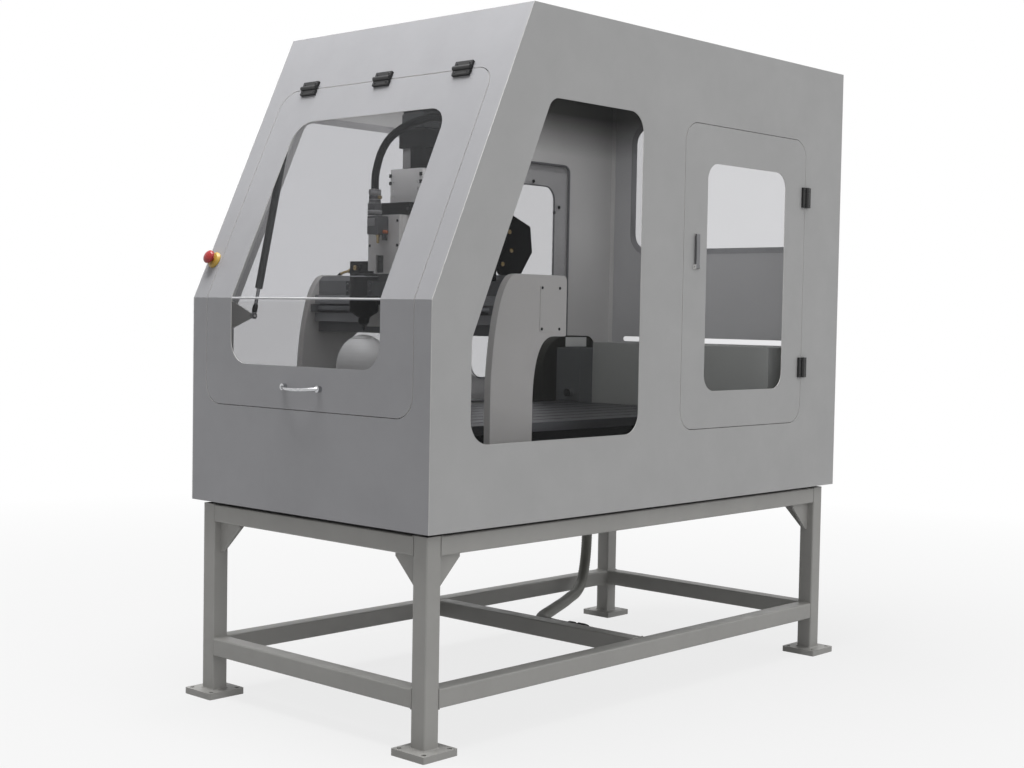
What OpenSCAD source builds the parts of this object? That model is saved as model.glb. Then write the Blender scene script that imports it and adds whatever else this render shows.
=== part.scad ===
// Enclosed table-top router on a welded tube stand.
// X runs across the front, Y goes from the front to the back, Z is up, and the floor is at Z = 0.

/* [Cabinet] */
// Width of the cabinet
cab_w = 980; // [940:10:1200]
// Depth of the cabinet
cab_d = 1880; // [1840:10:2300]
// Height of the cabinet
cab_h = 1358; // [1330:2:1500]
// Height of the upright part of the front
bend_h = 580; // [570:2:600]
// Set-back of the roof's front edge
slope_back = 353; // [340:1:370]
// Thickness of the sheet metal
sheet = 2; // [1.5:0.5:3]
// Thickness of the clear panes
pane = 5; // [3:1:6]
// Overlap of a pane behind its opening
pane_lap = 20; // [12:1:22]
// Width of the folded edges of the side panels
fold = 20; // [14:1:24]
// Gap round each door
door_gap = 2; // [1.5:0.5:3]
// Depth of a door's folded edge
door_fold = 18; // [12:1:20]
// Width of the lip that stops a door
lip = 12; // [8:1:16]

/* [Front door] */
// Width of the front door
front_door_w = 850; // [800:5:860]
// Reach of the front door up the slope from the bend
front_door_up = 668; // [640:2:680]
// Drop of the front door below the bend
front_door_drop = 298; // [260:2:320]
// Corner radius of the front door
front_door_r = 60; // [30:5:80]
// Width of the front window
front_win_w = 616; // [500:4:640]
// Place of the front window across the door
front_win_x = -6; // [-12:1:12]
// Reach of the front window up the slope
front_win_up = 558; // [500:2:580]
// Drop of the front window below the bend
front_win_drop = 182; // [120:2:200]
// Corner radius of the front window
front_win_r = 66; // [30:2:80]

/* [Side door] */
// Distance of the side door from the cabinet's front
side_door_y = 1020; // [990:5:1060]
// Width of the side door
side_door_w = 643; // [560:1:680]
// Height of the sill under the side openings, from the cabinet's floor
sill = 215; // [200:5:240]
// Height of the side openings
opening_h = 905; // [860:5:940]
// Corner radius of the side door
side_door_r = 58; // [30:2:70]
// Margin round the side door's window
side_win_margin = 113; // [90:1:130]
// Front edge of the fixed side window
fixed_win_y = 141; // [130:1:160]
// Width of the fixed side window
fixed_win_w = 680; // [600:5:720]
// Distance of the fixed side window from the sloped front
fixed_win_off = 168; // [150:2:190]

/* [Stand] */
// Height of the stand
stand_h = 556; // [480:2:640]
// Side of the square tubes
tube = 50.8; // [40:0.1:60]
// Wall of the square tubes
tube_wall = 3; // [2:0.5:4]
// Inset of the legs from the cabinet's sides
leg_in_x = 27; // [20:1:40]
// Inset of the legs from the cabinet's front and back
leg_in_y = 21.5; // [15:0.5:40]
// Height of the lower rails over the floor
rail_z = 118; // [100:2:160]
// Side of the foot plates
foot_w = 120; // [100:2:140]
// Thickness of the foot plates
foot_t = 18; // [10:1:20]
// Spacing of the holes in a foot plate
foot_hole_gap = 90; // [76:1:94]
// Diameter of the holes in a foot plate
foot_hole_d = 13; // [9:1:16]
// Thickness of the pads under the cabinet
pad_t = 10; // [6:1:16]
// Leg length of the gusset plates
gusset = 88; // [60:2:110]

/* [Hinges] */
// Length of a hinge
hinge_l = 64; // [50:2:80]
// Width of one hinge leaf
hinge_leaf = 21; // [16:1:26]
// Height of the hinge axis over the sheet
hinge_up = 8; // [7:0.5:9]
// Radius of a hinge barrel
barrel_r = 6.5; // [5.5:0.5:7]
// Radius of a hinge pin
pin_r = 3; // [2.5:0.5:3.5]
// Radial clearance of what turns or slides
fit = 0.05; // [0.02:0.01:0.08]

/* [Gas struts] */
// Radius of a strut's cylinder
strut_r = 11; // [9:1:12]
// Radius of a strut's rod
rod_r = 5; // [4:0.5:6]
// Distance of the struts from the middle
strut_x = 384; // [376:1:386]
// Length of a strut's cylinder
strut_l = 424; // [400:2:430]

/* [Router] */
// Width of the table
table_w = 700; // [640:5:710]
// Length of the table
table_l = 1290; // [1200:10:1294]
// Height of the table's top over the cabinet's floor
table_h = 249; // [240:1:260]
// Thickness of the table
table_t = 25; // [20:1:40]
// Number of bars in the table
table_bars = 8; // [4:2:10]
// Width of the slots between the bars
slot_w = 10; // [8:1:14]
// Thickness of the gantry's side plates
gantry_t = 22; // [15:1:24]
// Distance from the middle to the outer face of a gantry side
gantry_x = 400; // [392:1:404]
// Front of the gantry's legs
gantry_y = 306; // [300:1:316]
// Height of the gantry's top over the cabinet's floor
gantry_h = 656; // [640:2:670]
// Radius of the X screw
screw_r = 8; // [6:0.5:10]
// Place of the spindle across the machine
spindle_x = -17; // [-60:1:60]
// Distance of the spindle from the cabinet's front
spindle_y = 230; // [226:1:240]
// Height of the tool's tip over the cabinet's floor
tip_h = 496; // [492:1:510]
// Radius of the spindle
spindle_r = 40; // [36:1:46]
// Height of the domed work piece over the table
work_h = 235; // [120:5:236]
// Radius of the domed work piece
work_r = 75; // [50:1:90]

/* [Conduits] */
// Radius of the conduit under the cabinet
hose_r = 19; // [12:1:21]
// Radius of the spindle's conduit
whip_r = 11; // [7:0.5:12]

/* [Hidden] */
$fn = 48;

tiny = 0.01;
half_w = cab_w / 2;
z0 = stand_h + pad_t;
z1 = z0 + bend_h;
z2 = z0 + cab_h;
lean = atan(slope_back / (cab_h - bend_h));
skin_x = half_w - sheet;
frame_depth = door_fold + 4;
sill_z = z0 + sill;
side_top_z = sill_z + opening_h;
leg_x = half_w - leg_in_x - tube / 2;
leg_y = [leg_in_y + tube / 2, cab_d - leg_in_y - tube / 2];
hinge_s = front_door_up + door_gap / 2;
hinge_ball = barrel_r + 0.6;
strut_low = [133, z1 - 50];
strut_top = [240, z1 + 444];
strut_len = norm(strut_top - strut_low);
strut_tilt = atan2(strut_top[1] - strut_low[1], strut_top[0] - strut_low[0]);
table_z = z0 + table_h;
bed_top = table_z - table_t;
bed_y = 180;
bed_x = 288;
gantry_z = z0 + gantry_h;
gantry_in = gantry_x - gantry_t;
beam_y = 372;
beam_z = gantry_z - 169;
rail_hi = gantry_z - 73.5;
rail_lo = gantry_z - 126;
screw_z = (rail_hi + rail_lo) / 2;
tip_z = z0 + tip_h;
column_y = 312;
plate_back = 330;
lamina = 9;

// Everything is drawn from the cabinet's front edge and then centred on the stand.
module place() translate([0, -cab_d / 2, 0]) children();

// A flat shape in (y, z), drawn out along X from x to x + t.
module along_x(x, t) translate([x, 0, 0]) rotate([90, 0, 90]) linear_extrude(t) children();

// A flat shape in (x, z), drawn out along Y from y to y + t.
module along_y(y, t) translate([0, y + t, 0]) rotate([90, 0, 0]) linear_extrude(t) children();

// A box from its lowest to its highest corner.
module block(a, b) translate(a) cube(b - a);

// The upright front and the sloped front as drawing planes: X across, Y up the sheet, Z out of it.
module on_front() translate([0, 0, z1]) rotate([90, 0, 0]) children();
module on_slope() translate([0, 0, z1]) rotate([90 - lean, 0, 0]) children();

// The side outline of the cabinet, moved inwards by d.
function outline(d) = [
    [d, z0 + d], [cab_d - d, z0 + d], [cab_d - d, z2 - d],
    [slope_back + d * tan((90 - lean) / 2), z2 - d], [d, z1 - d * tan(lean / 2)]
];

// The points of an outline with its corners rounded.
function unit(v) = v / norm(v);
function corner(p0, p1, p2, r, n) =
    let (
        a = unit(p0 - p1), b = unit(p2 - p1), turn = acos(a * b) / 2,
        c = p1 + unit(a + b) * r / sin(turn),
        s = p1 + a * r / tan(turn) - c, e = p1 + b * r / tan(turn) - c,
        from = atan2(s[1], s[0]), sweep = ((atan2(e[1], e[0]) - from + 540) % 360) - 180
    )
    [for (i = [0:n]) c + r * [cos(from + sweep * i / n), sin(from + sweep * i / n)]];
function rounded(p, r, n = 9) =
    let (k = len(p))
    [for (i = [0:k - 1]) each corner(p[(i + k - 1) % k], p[i], p[(i + 1) % k], r[i], n)];

// A cubic curve from a to d, led by b and c.
function bezier(a, b, c, d, n = 12) =
    [for (i = [0:n]) let (t = i / n, u = 1 - t)
        u * u * u * a + 3 * u * u * t * b + 3 * u * t * t * c + t * t * t * d];

// A rectangle with round corners, centred.
module round_rect(w, h, r) {
    square([w - 2 * r, h], center = true);
    square([w, h - 2 * r], center = true);
    for (x = [-1, 1], y = [-1, 1]) translate([x * (w / 2 - r), y * (h / 2 - r)]) circle(r);
}

// A tongue from y = 0 to h, with its far corners round.
module tongue(w, h, r) {
    translate([-w / 2, 0]) square([w, h - r]);
    translate([-w / 2 + r, 0]) square([w - 2 * r, h]);
    for (x = [-1, 1]) translate([x * (w / 2 - r), h - r]) circle(r);
}

// A square tube of length l along Z.
module square_tube(l) linear_extrude(l) difference() {
    round_rect(tube, tube, 5);
    round_rect(tube - 2 * tube_wall, tube - 2 * tube_wall, 2);
}

// The points of a smooth run through chosen points.
function run(p, n = 6) =
    let (k = len(p))
    concat(
        [for (i = [0:k - 2], j = [0:n - 1])
            let (
                t = j / n, a = p[max(i - 1, 0)], b = p[i], c = p[i + 1], d = p[min(i + 2, k - 1)],
                lin = c - a, sq = 2 * a - 5 * b + 4 * c - d, cube = 3 * b - a - 3 * c + d
            )
            0.5 * (2 * b + lin * t + sq * t * t + cube * t * t * t)],
        [p[k - 1]]
    );

// A round bar along a run of points.
module bar(path, r, sides = 12) {
    k = len(path);
    dirs = [for (i = [0:k - 1]) unit(path[min(i + 1, k - 1)] - path[max(i - 1, 0)])];
    ring = [for (i = [0:k - 1])
        let (side = unit(cross(dirs[i], [0, 1, 0])), up = cross(dirs[i], side))
        [for (j = [0:sides - 1]) path[i] + r * (side * cos(360 * j / sides) + up * sin(360 * j / sides))]];
    pts = [for (i = [0:k - 1]) each ring[i]];
    walls = [for (i = [0:k - 2], j = [0:sides - 1])
        let (a = i * sides, b = a + sides, n = (j + 1) % sides)
        each [[a + j, b + n, a + n], [a + j, b + j, b + n]]];
    ends = [[for (j = [0:sides - 1]) j], [for (j = [sides - 1:-1:0]) (k - 1) * sides + j]];
    polyhedron(pts, concat(walls, ends), convexity = 6);
}

// ---------------------------------------------------------------- stand

module legs() color([0.46, 0.46, 0.45]) place() for (x = [-leg_x, leg_x], y = leg_y) translate([x, y, 0]) {
    difference() {
        linear_extrude(foot_t) round_rect(foot_w, foot_w, 4);
        for (a = [-0.5, 0.5], b = [-0.5, 0.5]) translate([a * foot_hole_gap, b * foot_hole_gap, -1])
            cylinder(r = foot_hole_d / 2, h = foot_t + 2);
    }
    translate([0, 0, foot_t]) square_tube(stand_h - foot_t);
}

module beam_x(y, z, l) translate([-l / 2, y, z]) rotate([0, 90, 0]) square_tube(l);
module beam_y(x, z, l) translate([x, (cab_d - l) / 2, z]) rotate([-90, 0, 0]) square_tube(l);

module gusset_plate() translate([0, 0, -3]) linear_extrude(6)
    polygon([[0, 0], [gusset, 0], [gusset, -12], [12, -gusset], [0, -gusset]]);

module top_frame() color([0.5, 0.5, 0.49]) place() {
    z = stand_h - tube / 2;
    for (y = leg_y) beam_x(y, z, 2 * leg_x - tube);
    for (x = [-leg_x, leg_x]) beam_y(x, z, leg_y[1] - leg_y[0] - tube);
    // the gusset plates in the corners
    for (sx = [-1, 1], i = [0, 1]) translate([sx * leg_x, leg_y[i], stand_h - tube]) {
        translate([-sx * tube / 2, 0, 0]) mirror([sx > 0 ? 1 : 0, 0, 0]) rotate([90, 0, 0]) gusset_plate();
        translate([0, (1 - 2 * i) * tube / 2, 0]) mirror([0, i, 0]) rotate([90, 0, 90]) gusset_plate();
    }
}

module lower_rails() color([0.42, 0.42, 0.41]) place() {
    z = rail_z + tube / 2;
    for (y = leg_y) beam_x(y, z, 2 * leg_x - tube);
    for (x = [-leg_x, leg_x]) beam_y(x, z, leg_y[1] - leg_y[0] - tube);
}

module cross_rail() color([0.42, 0.42, 0.41]) place()
    beam_x(cab_d / 2, rail_z + tube / 2, 2 * leg_x - tube);

module mount_pads() color([0.1, 0.1, 0.1]) place()
    for (x = [-leg_x, leg_x], y = [leg_y[0] + 60, cab_d / 2, leg_y[1] - 60])
        translate([x, y, stand_h]) cylinder(r = 20, h = pad_t);

// ---------------------------------------------------------------- cabinet

module floor_pan() color([0.62, 0.62, 0.63]) place() difference() {
    block([-skin_x, sheet, z0], [skin_x, cab_d - sheet, z0 + sheet]);
    translate([gland_x, gland_y, z0 - 1]) cylinder(r = hose_r + 4, h = sheet + 2);
}

// The fixed side window's outline, grown by g and led towards the sloped front.
function fixed_window(g, lead = 0) =
    let (
        y0 = fixed_win_y - g, y1 = fixed_win_y + fixed_win_w + g,
        off = (fixed_win_off - lead - g) / cos(lean), zb = sill_z - g, zt = side_top_z + g
    )
    rounded(
        [[y0, zb], [y1, zb], [y1, zt], [(zt - z1) * tan(lean) + off, zt],
            [y0, z1 + (y0 - off) / tan(lean)]],
        [64 + g, 58 + g, 58 + g, 44 + g, 60]
    );

module side_door_shape(grow) translate([side_door_y + side_door_w / 2, sill_z + opening_h / 2])
    round_rect(side_door_w + 2 * grow, opening_h - 2 * door_gap + 2 * grow, side_door_r + grow);

module side_glass_shape(grow) translate([side_door_y + side_door_w / 2, sill_z + opening_h / 2])
    round_rect(
        side_door_w - 2 * side_win_margin + 2 * grow, opening_h - 2 * side_win_margin + 2 * grow, 50 + grow
    );

// The sheet and its folded edges, before the openings are cut.
module side_blank() {
    along_x(skin_x, sheet) polygon(outline(0));
    along_x(half_w - fold, fold - sheet + tiny) difference() {
        polygon(outline(sheet));
        polygon(outline(2 * sheet));
    }
}

module side_panel_right() color([0.64, 0.64, 0.64]) place() {
    difference() {
        side_blank();
        along_x(skin_x - 1, sheet + 2) polygon(fixed_window(0));
        along_x(skin_x - 1, sheet + 2) side_door_shape(door_gap);
    }
    along_x(half_w - frame_depth, frame_depth - sheet + tiny) difference() {
        side_door_shape(door_gap + sheet);
        side_door_shape(door_gap);
    }
    along_x(half_w - frame_depth - sheet, sheet + tiny) difference() {
        side_door_shape(door_gap + sheet);
        side_door_shape(-lip);
    }
}

left_lead = 20;

module side_panel_left() color([0.64, 0.64, 0.64]) place() mirror([1, 0, 0]) difference() {
    side_blank();
    along_x(skin_x - 1, sheet + 2) polygon(fixed_window(0, left_lead));
    along_x(skin_x - 1, sheet + 2) side_glass_shape(0);
}

// The front door's outline as two prisms that meet at the bend.
module bent_prism(w, up, drop, r) {
    on_slope() translate([0, 0, -90]) linear_extrude(180) tongue(w, up, r);
    on_front() translate([0, 0, -90]) linear_extrude(180) mirror([0, 1]) tongue(w, drop, r);
}
module door_prism(grow) bent_prism(
    front_door_w + 2 * grow, front_door_up + grow, front_door_drop + grow, front_door_r + grow
);
module glass_prism(grow) translate([front_win_x, 0, 0]) bent_prism(
    front_win_w + 2 * grow, front_win_up + grow, front_win_drop + grow, front_win_r + grow
);

// A layer behind the front, from depth a to depth b, w wide.
module front_layer(a, b, w) along_x(-w / 2, w) polygon([
    [a, z0 + sheet], outline(a)[4], outline(a)[3], outline(b)[3], outline(b)[4], [b, z0 + sheet]
]);

module front_panel() color([0.72, 0.72, 0.73]) place() {
    difference() {
        along_x(-skin_x, 2 * skin_x) polygon([
            [0, z0], outline(0)[4], outline(0)[3], outline(sheet)[3], outline(sheet)[4], [sheet, z0]
        ]);
        door_prism(door_gap);
        on_slope() translate([estop_x, estop_s, -10]) cylinder(r = 11.5, h = 20);
    }
    // the fold under the roof
    block(
        [-skin_x + fold, outline(sheet)[3][0] - 1, z2 - 2 * sheet],
        [skin_x - fold, slope_back + 26, z2 - sheet]
    );
    // the folded edge of the opening and the lip that stops the door
    intersection() {
        front_layer(sheet - tiny, frame_depth, 2 * skin_x - 2 * fold);
        difference() {
            door_prism(door_gap + sheet);
            door_prism(door_gap);
        }
    }
    intersection() {
        front_layer(frame_depth - tiny, frame_depth + sheet, 2 * skin_x - 2 * fold);
        difference() {
            door_prism(door_gap + sheet);
            door_prism(-lip);
        }
    }
}

module roof_panel() color([0.66, 0.66, 0.67]) place() along_x(-skin_x, 2 * skin_x) polygon([
    outline(0)[3], [cab_d - sheet, z2], [cab_d - sheet, z2 - sheet], outline(sheet)[3]
]);

// width, height and middle height
rear_win = [740, 446, side_top_z - 103];
rear_slot = [834, 18, z0 + 465];
left_lap = 78;

module rear_panel() color([0.6, 0.6, 0.6]) place() along_y(cab_d - sheet, sheet) difference() {
    translate([-skin_x, z0]) square([2 * skin_x, cab_h]);
    translate([0, rear_win[2]]) round_rect(rear_win[0], rear_win[1], 60);
    translate([0, rear_slot[2]]) square([rear_slot[0] - rear_slot[1], rear_slot[1]], center = true);
    for (x = [-0.5, 0.5]) translate([x * (rear_slot[0] - rear_slot[1]), rear_slot[2]])
        circle(rear_slot[1] / 2);
}

module windows_left() color([0.75, 0.77, 0.8, 0.4]) place() mirror([1, 0, 0]) {
    along_x(skin_x - pane, pane) polygon(fixed_window(pane_lap, left_lead));
    grow = left_lap - side_win_margin;
    along_x(skin_x - pane, pane) translate([side_door_y + side_door_w / 2, sill_z + opening_h / 2])
        round_rect(side_door_w + 2 * grow, opening_h + 2 * grow, 26);
}

module window_right() color([0.75, 0.77, 0.8, 0.4]) place()
    along_x(skin_x - pane, pane) polygon(fixed_window(pane_lap));

module window_rear() color([0.75, 0.77, 0.8, 0.4]) place() along_y(cab_d - sheet - pane, pane)
    translate([0, rear_win[2]])
        round_rect(rear_win[0] + 2 * pane_lap, rear_win[1] + 2 * pane_lap, 60 + pane_lap);

// ---------------------------------------------------------------- front door

module front_door() color([0.72, 0.72, 0.73]) place() {
    difference() {
        intersection() {
            front_layer(0, sheet, cab_w);
            door_prism(0);
        }
        glass_prism(0);
    }
    intersection() {
        front_layer(sheet - tiny, sheet + door_fold, cab_w);
        difference() {
            door_prism(0);
            door_prism(-sheet);
        }
    }
}

module front_door_window() color([0.75, 0.77, 0.8, 0.4]) place() intersection() {
    front_layer(sheet, sheet + pane, cab_w);
    glass_prism(pane_lap);
}

// A bow of round bar between two feet. It stands out from the door almost level.
bow_w = 144;
bow_h = 27;
bow_bar = 5;
bow_droop = 8;
bow_z = z1 - 238;

module front_door_handle() color([0.75, 0.75, 0.74]) place() {
    radius = (bow_w * bow_w / 4 + bow_h * bow_h) / (2 * bow_h);
    spread = asin(bow_w / 2 / radius);
    for (x = [-1, 1]) translate([x * bow_w / 2, 0, bow_z]) rotate([90, 0, 0]) cylinder(r = 9, h = 12);
    translate([0, -9, bow_z]) rotate([bow_droop, 0, 0])
        translate([0, radius - bow_h, 0]) rotate([0, 0, -90 - spread])
            rotate_extrude(angle = 2 * spread) translate([radius, 0]) circle(bow_bar, $fn = 24);
}

// A block hinge: base above the gap, leaf below it, the pin in the base. Y is up the sheet, Z out of it.
module hinge_base() {
    knuckle = hinge_l / 2 - 14;
    difference() {
        union() {
            translate([-hinge_l / 2, hinge_ball, 0]) cube([hinge_l, hinge_leaf - hinge_ball, hinge_up]);
            for (x = [-hinge_l / 2, 14]) translate([x, 0, 0]) {
                translate([0, 0, hinge_up]) rotate([0, 90, 0]) cylinder(r = barrel_r, h = knuckle);
                translate([0, 1.2, 0]) cube([knuckle, hinge_leaf - 1.2, hinge_up]);
            }
        }
        translate([-hinge_l, hinge_leaf - 2, hinge_up]) rotate([45, 0, 0]) cube([2 * hinge_l, 6, 6]);
    }
    translate([-hinge_l / 2, 0, hinge_up]) rotate([0, 90, 0]) cylinder(r = pin_r, h = hinge_l);
}

module hinge_leaf() difference() {
    union() {
        translate([-13.5, 0, hinge_up]) rotate([0, 90, 0]) cylinder(r = barrel_r, h = 27);
        translate([-13.5, -hinge_leaf, 0]) cube([27, hinge_leaf - 1.2, hinge_up]);
        translate([-hinge_l / 2, -hinge_leaf, 0]) cube([hinge_l, hinge_leaf - hinge_ball, hinge_up]);
    }
    translate([-hinge_l, 0, hinge_up]) rotate([0, 90, 0]) cylinder(r = pin_r + fit, h = 2 * hinge_l);
    translate([-hinge_l, 2 - hinge_leaf, hinge_up]) rotate([45, 0, 0]) mirror([0, 1, 0])
        cube([2 * hinge_l, 6, 6]);
}

front_hinge_x = [-312, 0, 312];
side_hinge_z = [sill_z + 178, side_top_z - 182];
side_hinge_y = side_door_y + side_door_w + door_gap / 2;

module at_front_hinges() on_slope() for (x = front_hinge_x) translate([x, hinge_s, 0]) children();
module at_side_hinges() for (z = side_hinge_z) translate([half_w, side_hinge_y, z])
    multmatrix([[0, 0, 1, 0], [0, 1, 0, 0], [-1, 0, 0, 0], [0, 0, 0, 1]]) children();

module front_hinge_bases() color([0.12, 0.12, 0.12]) place() at_front_hinges() hinge_base();
module front_hinge_leaves() color([0.12, 0.12, 0.12]) place() at_front_hinges() hinge_leaf();
module side_hinge_bases() color([0.12, 0.12, 0.12]) place() at_side_hinges() hinge_base();
module side_hinge_leaves() color([0.12, 0.12, 0.12]) place() at_side_hinges() hinge_leaf();

// ---------------------------------------------------------------- gas struts

eye_r = 9;
eye_w = 10;
stud_r = 4;

// A strut's own frame: the low pivot at the origin, Y along the strut, X across the cabinet.
module on_strut() translate([0, strut_low[0], strut_low[1]]) rotate([strut_tilt, 0, 0]) children();
module both_sides() for (s = [0, 1]) mirror([s, 0, 0]) children();

module strut_cabinet_brackets() color([0.55, 0.55, 0.55]) place() both_sides() {
    y = strut_low[0];
    z = strut_low[1];
    tip = strut_x + eye_w / 2 + 3;
    block([skin_x - 4, y - 49, z - 60], [skin_x, y - 16, z + 66]);
    // a leaning plate that narrows towards the strut
    intersection() {
        translate([0, 0, z - 60]) linear_extrude(126)
            polygon([[skin_x - 2, y - 40], [skin_x - 2, y - 34], [tip, y + 3], [tip, y - 3]]);
        along_y(0, 2 * y) polygon([[skin_x, z + 62], [tip, z + 6], [tip, z - 6], [skin_x, z - 56]]);
    }
    translate([strut_x - eye_w / 2 - 2, y, z]) rotate([0, 90, 0]) cylinder(r = stud_r, h = eye_w + 12);
}

module strut_rods() color([0.8, 0.8, 0.8]) place() both_sides() translate([strut_x, 0, 0]) on_strut() {
    reach = strut_len - 30;
    difference() {
        union() {
            translate([-eye_w / 2, 0, 0]) rotate([0, 90, 0]) cylinder(r = eye_r, h = eye_w);
            translate([0, 4, 0]) rotate([-90, 0, 0]) cylinder(r = rod_r + 1.5, h = 28);
            translate([0, 30, 0]) rotate([-90, 0, 0]) cylinder(r = rod_r, h = reach - 30);
        }
        translate([-eye_w, 0, 0]) rotate([0, 90, 0]) cylinder(r = stud_r + fit, h = 2 * eye_w);
    }
    translate([0, reach - 10, 0]) rotate([-90, 0, 0]) cylinder(r = strut_r - 2 - fit, h = 10);
}

module strut_cylinders() color([0.16, 0.16, 0.17]) place() both_sides()
    translate([strut_x, 0, 0]) on_strut() translate([0, strut_len, 0]) rotate([90, 0, 0]) {
        difference() {
            union() {
                translate([0, 0, 12]) cylinder(r = strut_r, h = strut_l - 12);
                cylinder(r = 6, h = 16);
                rotate([0, 90, 0]) {
                    translate([0, 0, -eye_w / 2]) cylinder(r = eye_r, h = eye_w / 2 + strut_r);
                    translate([0, 0, -eye_w / 2 - 3]) cylinder(r = 6, h = 4);
                }
            }
            translate([0, 0, 18]) cylinder(r = strut_r - 2, h = strut_l - 28);
            translate([0, 0, 18]) cylinder(r = rod_r + fit, h = strut_l);
        }
    }

module strut_door_brackets() color([0.55, 0.55, 0.55]) place() both_sides() {
    s = (strut_top - [0, z1]) * [sin(lean), cos(lean)];
    depth = (strut_top - [0, z1]) * [cos(lean), -sin(lean)];
    x = strut_x + strut_r + 0.4;
    on_slope() {
        block([x, s - 22, -sheet - 3], [x + 22, s + 22, -sheet]);
        translate([x, 0, 0]) rotate([90, 0, 90]) linear_extrude(4)
            polygon([[s - 16, -sheet], [s + 16, -sheet], [s + 9, -depth - 9], [s - 9, -depth - 9]]);
    }
}

// ---------------------------------------------------------------- side door

module side_door() color([0.64, 0.64, 0.64]) place() {
    along_x(skin_x, sheet) difference() {
        side_door_shape(0);
        side_glass_shape(0);
    }
    along_x(skin_x - door_fold, door_fold + tiny) difference() {
        side_door_shape(0);
        side_door_shape(-sheet);
    }
    // the ears that carry the latch
    translate([skin_x + sheet, latch_y, latch_z - latch_h / 2]) difference() {
        for (y = [-12, 9]) block([-tiny, y, -7], [9, y + 3, 7]);
        translate([5, -20, 0]) rotate([-90, 0, 0]) cylinder(r = 1.5 + fit, h = 40);
    }
    translate([half_w, latch_y, latch_z]) block([0, -9, latch_h / 2 - 6], [2, 9, latch_h / 2 + 4]);
}

module side_door_window() color([0.75, 0.77, 0.8, 0.4]) place()
    along_x(skin_x - pane, pane) side_glass_shape(pane_lap);

latch_y = side_door_y + 60;
latch_z = sill_z + 530;
latch_h = 96;

module side_door_latch() color([0.5, 0.5, 0.5]) place()
    translate([half_w, latch_y, latch_z - latch_h / 2]) {
    along_y(-8, 16) polygon(rounded(
        [[2.4, -5], [8, -5], [9, latch_h / 2], [8, latch_h], [2.4, latch_h]], [1, 2, 40, 2, 1], 4
    ));
    translate([5, -11.5, 0]) rotate([-90, 0, 0]) cylinder(r = 1.5, h = 23);
}

// ---------------------------------------------------------------- emergency stop

estop_x = -(skin_x + front_door_w / 2 + door_gap) / 2;
estop_s = 118;

module at_estop() on_slope() translate([estop_x, estop_s, 0]) children();

module estop_collar() color([0.85, 0.68, 0.1]) place() at_estop() difference() {
    union() {
        cylinder(r = 24, h = 3);
        translate([0, 0, 3]) cylinder(r1 = 24, r2 = 19, h = 7);
        translate([0, 0, -22]) cylinder(r = 11, h = 23);
        translate([0, 0, -9 - 2 * sheet]) cylinder(r = 15, h = 8, $fn = 6);
    }
    translate([0, 0, -30]) cylinder(r = 7 + fit, h = 60);
}

module estop_button() color([0.62, 0.12, 0.12]) place() at_estop() {
    translate([0, 0, -20]) cylinder(r = 7, h = 38);
    translate([0, 0, 17]) rotate_extrude() polygon(concat(
        [[0, 0], [14, 0], [19, 3]],
        bezier([20, 6], [20, 12], [13, 16], [0, 17], 8)
    ));
}

// ---------------------------------------------------------------- conduit under the cabinet

clip_y = cab_d / 2 + 50;
clip_z = rail_z + 26;
gland_x = -384;
gland_y = clip_y + 660;
hose_end = 140;
hose_drop = (z0 - clip_z - 162) / 3;
hose_path = [
    for (i = [0:3]) [gland_x, gland_y, z0 - 6 - i * hose_drop],
    [-374, clip_y + 640, clip_z + 76], [-347, clip_y + 590, clip_z + 16], [-309, clip_y + 518, clip_z - 6],
    [-264, clip_y + 432, clip_z - 8], [-218, clip_y + 346, clip_z - 8], [-173, clip_y + 260, clip_z - 6],
    [-128, clip_y + 174, clip_z - 4], [-82, clip_y + 86, clip_z - 2], [-46, clip_y + 40, clip_z - 1],
    [3, clip_y + 10, clip_z], [60, clip_y, clip_z], [hose_end, clip_y, clip_z]
];

module floor_conduit() color([0.36, 0.36, 0.34]) place() bar(hose_path, hose_r);

module conduit_fittings() color([0.12, 0.12, 0.12]) place() {
    // the gland in the floor
    translate([gland_x, gland_y, z0 - 40]) difference() {
        union() {
            cylinder(r = hose_r + 8, h = 38, $fn = 8);
            cylinder(r = hose_r + 3.6, h = 52);
            translate([0, 0, 40 + sheet]) cylinder(r = hose_r + 10, h = 8, $fn = 8);
        }
        translate([0, 0, -1]) cylinder(r = hose_r + 0.4, h = 80);
    }
    // the clip on the rail's back
    along_x(104, 18) difference() {
        union() {
            translate([clip_y, clip_z]) circle(hose_r + 3);
            translate([cab_d / 2 + tube / 2, clip_z - 14]) square([clip_y - cab_d / 2 - tube / 2, 28]);
        }
        translate([clip_y, clip_z]) circle(hose_r + 0.4);
    }
}

module conduit_connector() color([0.12, 0.12, 0.12]) place()
    translate([hose_end, clip_y, clip_z]) rotate([0, 90, 0]) {
        cylinder(r = hose_r + 4, h = 30, $fn = 8);
        translate([0, 0, 30]) cylinder(r = hose_r - 2, h = 26);
    }

// ---------------------------------------------------------------- router bed

module bed_frame() color([0.12, 0.12, 0.13]) place() {
    low = z0 + sheet + 32;
    for (x = [-bed_x, bed_x]) translate([x, bed_y, (low + bed_top) / 2]) rotate([-90, 0, 0])
        linear_extrude(table_l) difference() {
            round_rect(80, bed_top - low, 4);
            round_rect(68, bed_top - low - 12, 2);
        }
    for (y = [bed_y + 40, bed_y + table_l / 2 - 30, bed_y + table_l - 100]) difference() {
        block([39 - bed_x, y, low], [bed_x - 39, y + 60, bed_top]);
        block([28 - bed_x, y + 6, low - 1], [bed_x - 28, y + 54, bed_top - 8]);
    }
    for (x = [-bed_x, bed_x], y = [bed_y + 70, bed_y + table_l / 2, bed_y + table_l - 70])
        translate([x, y, z0 + sheet]) {
            cylinder(r = 30, h = 12);
            cylinder(r = 9, h = 33);
        }
}

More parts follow.
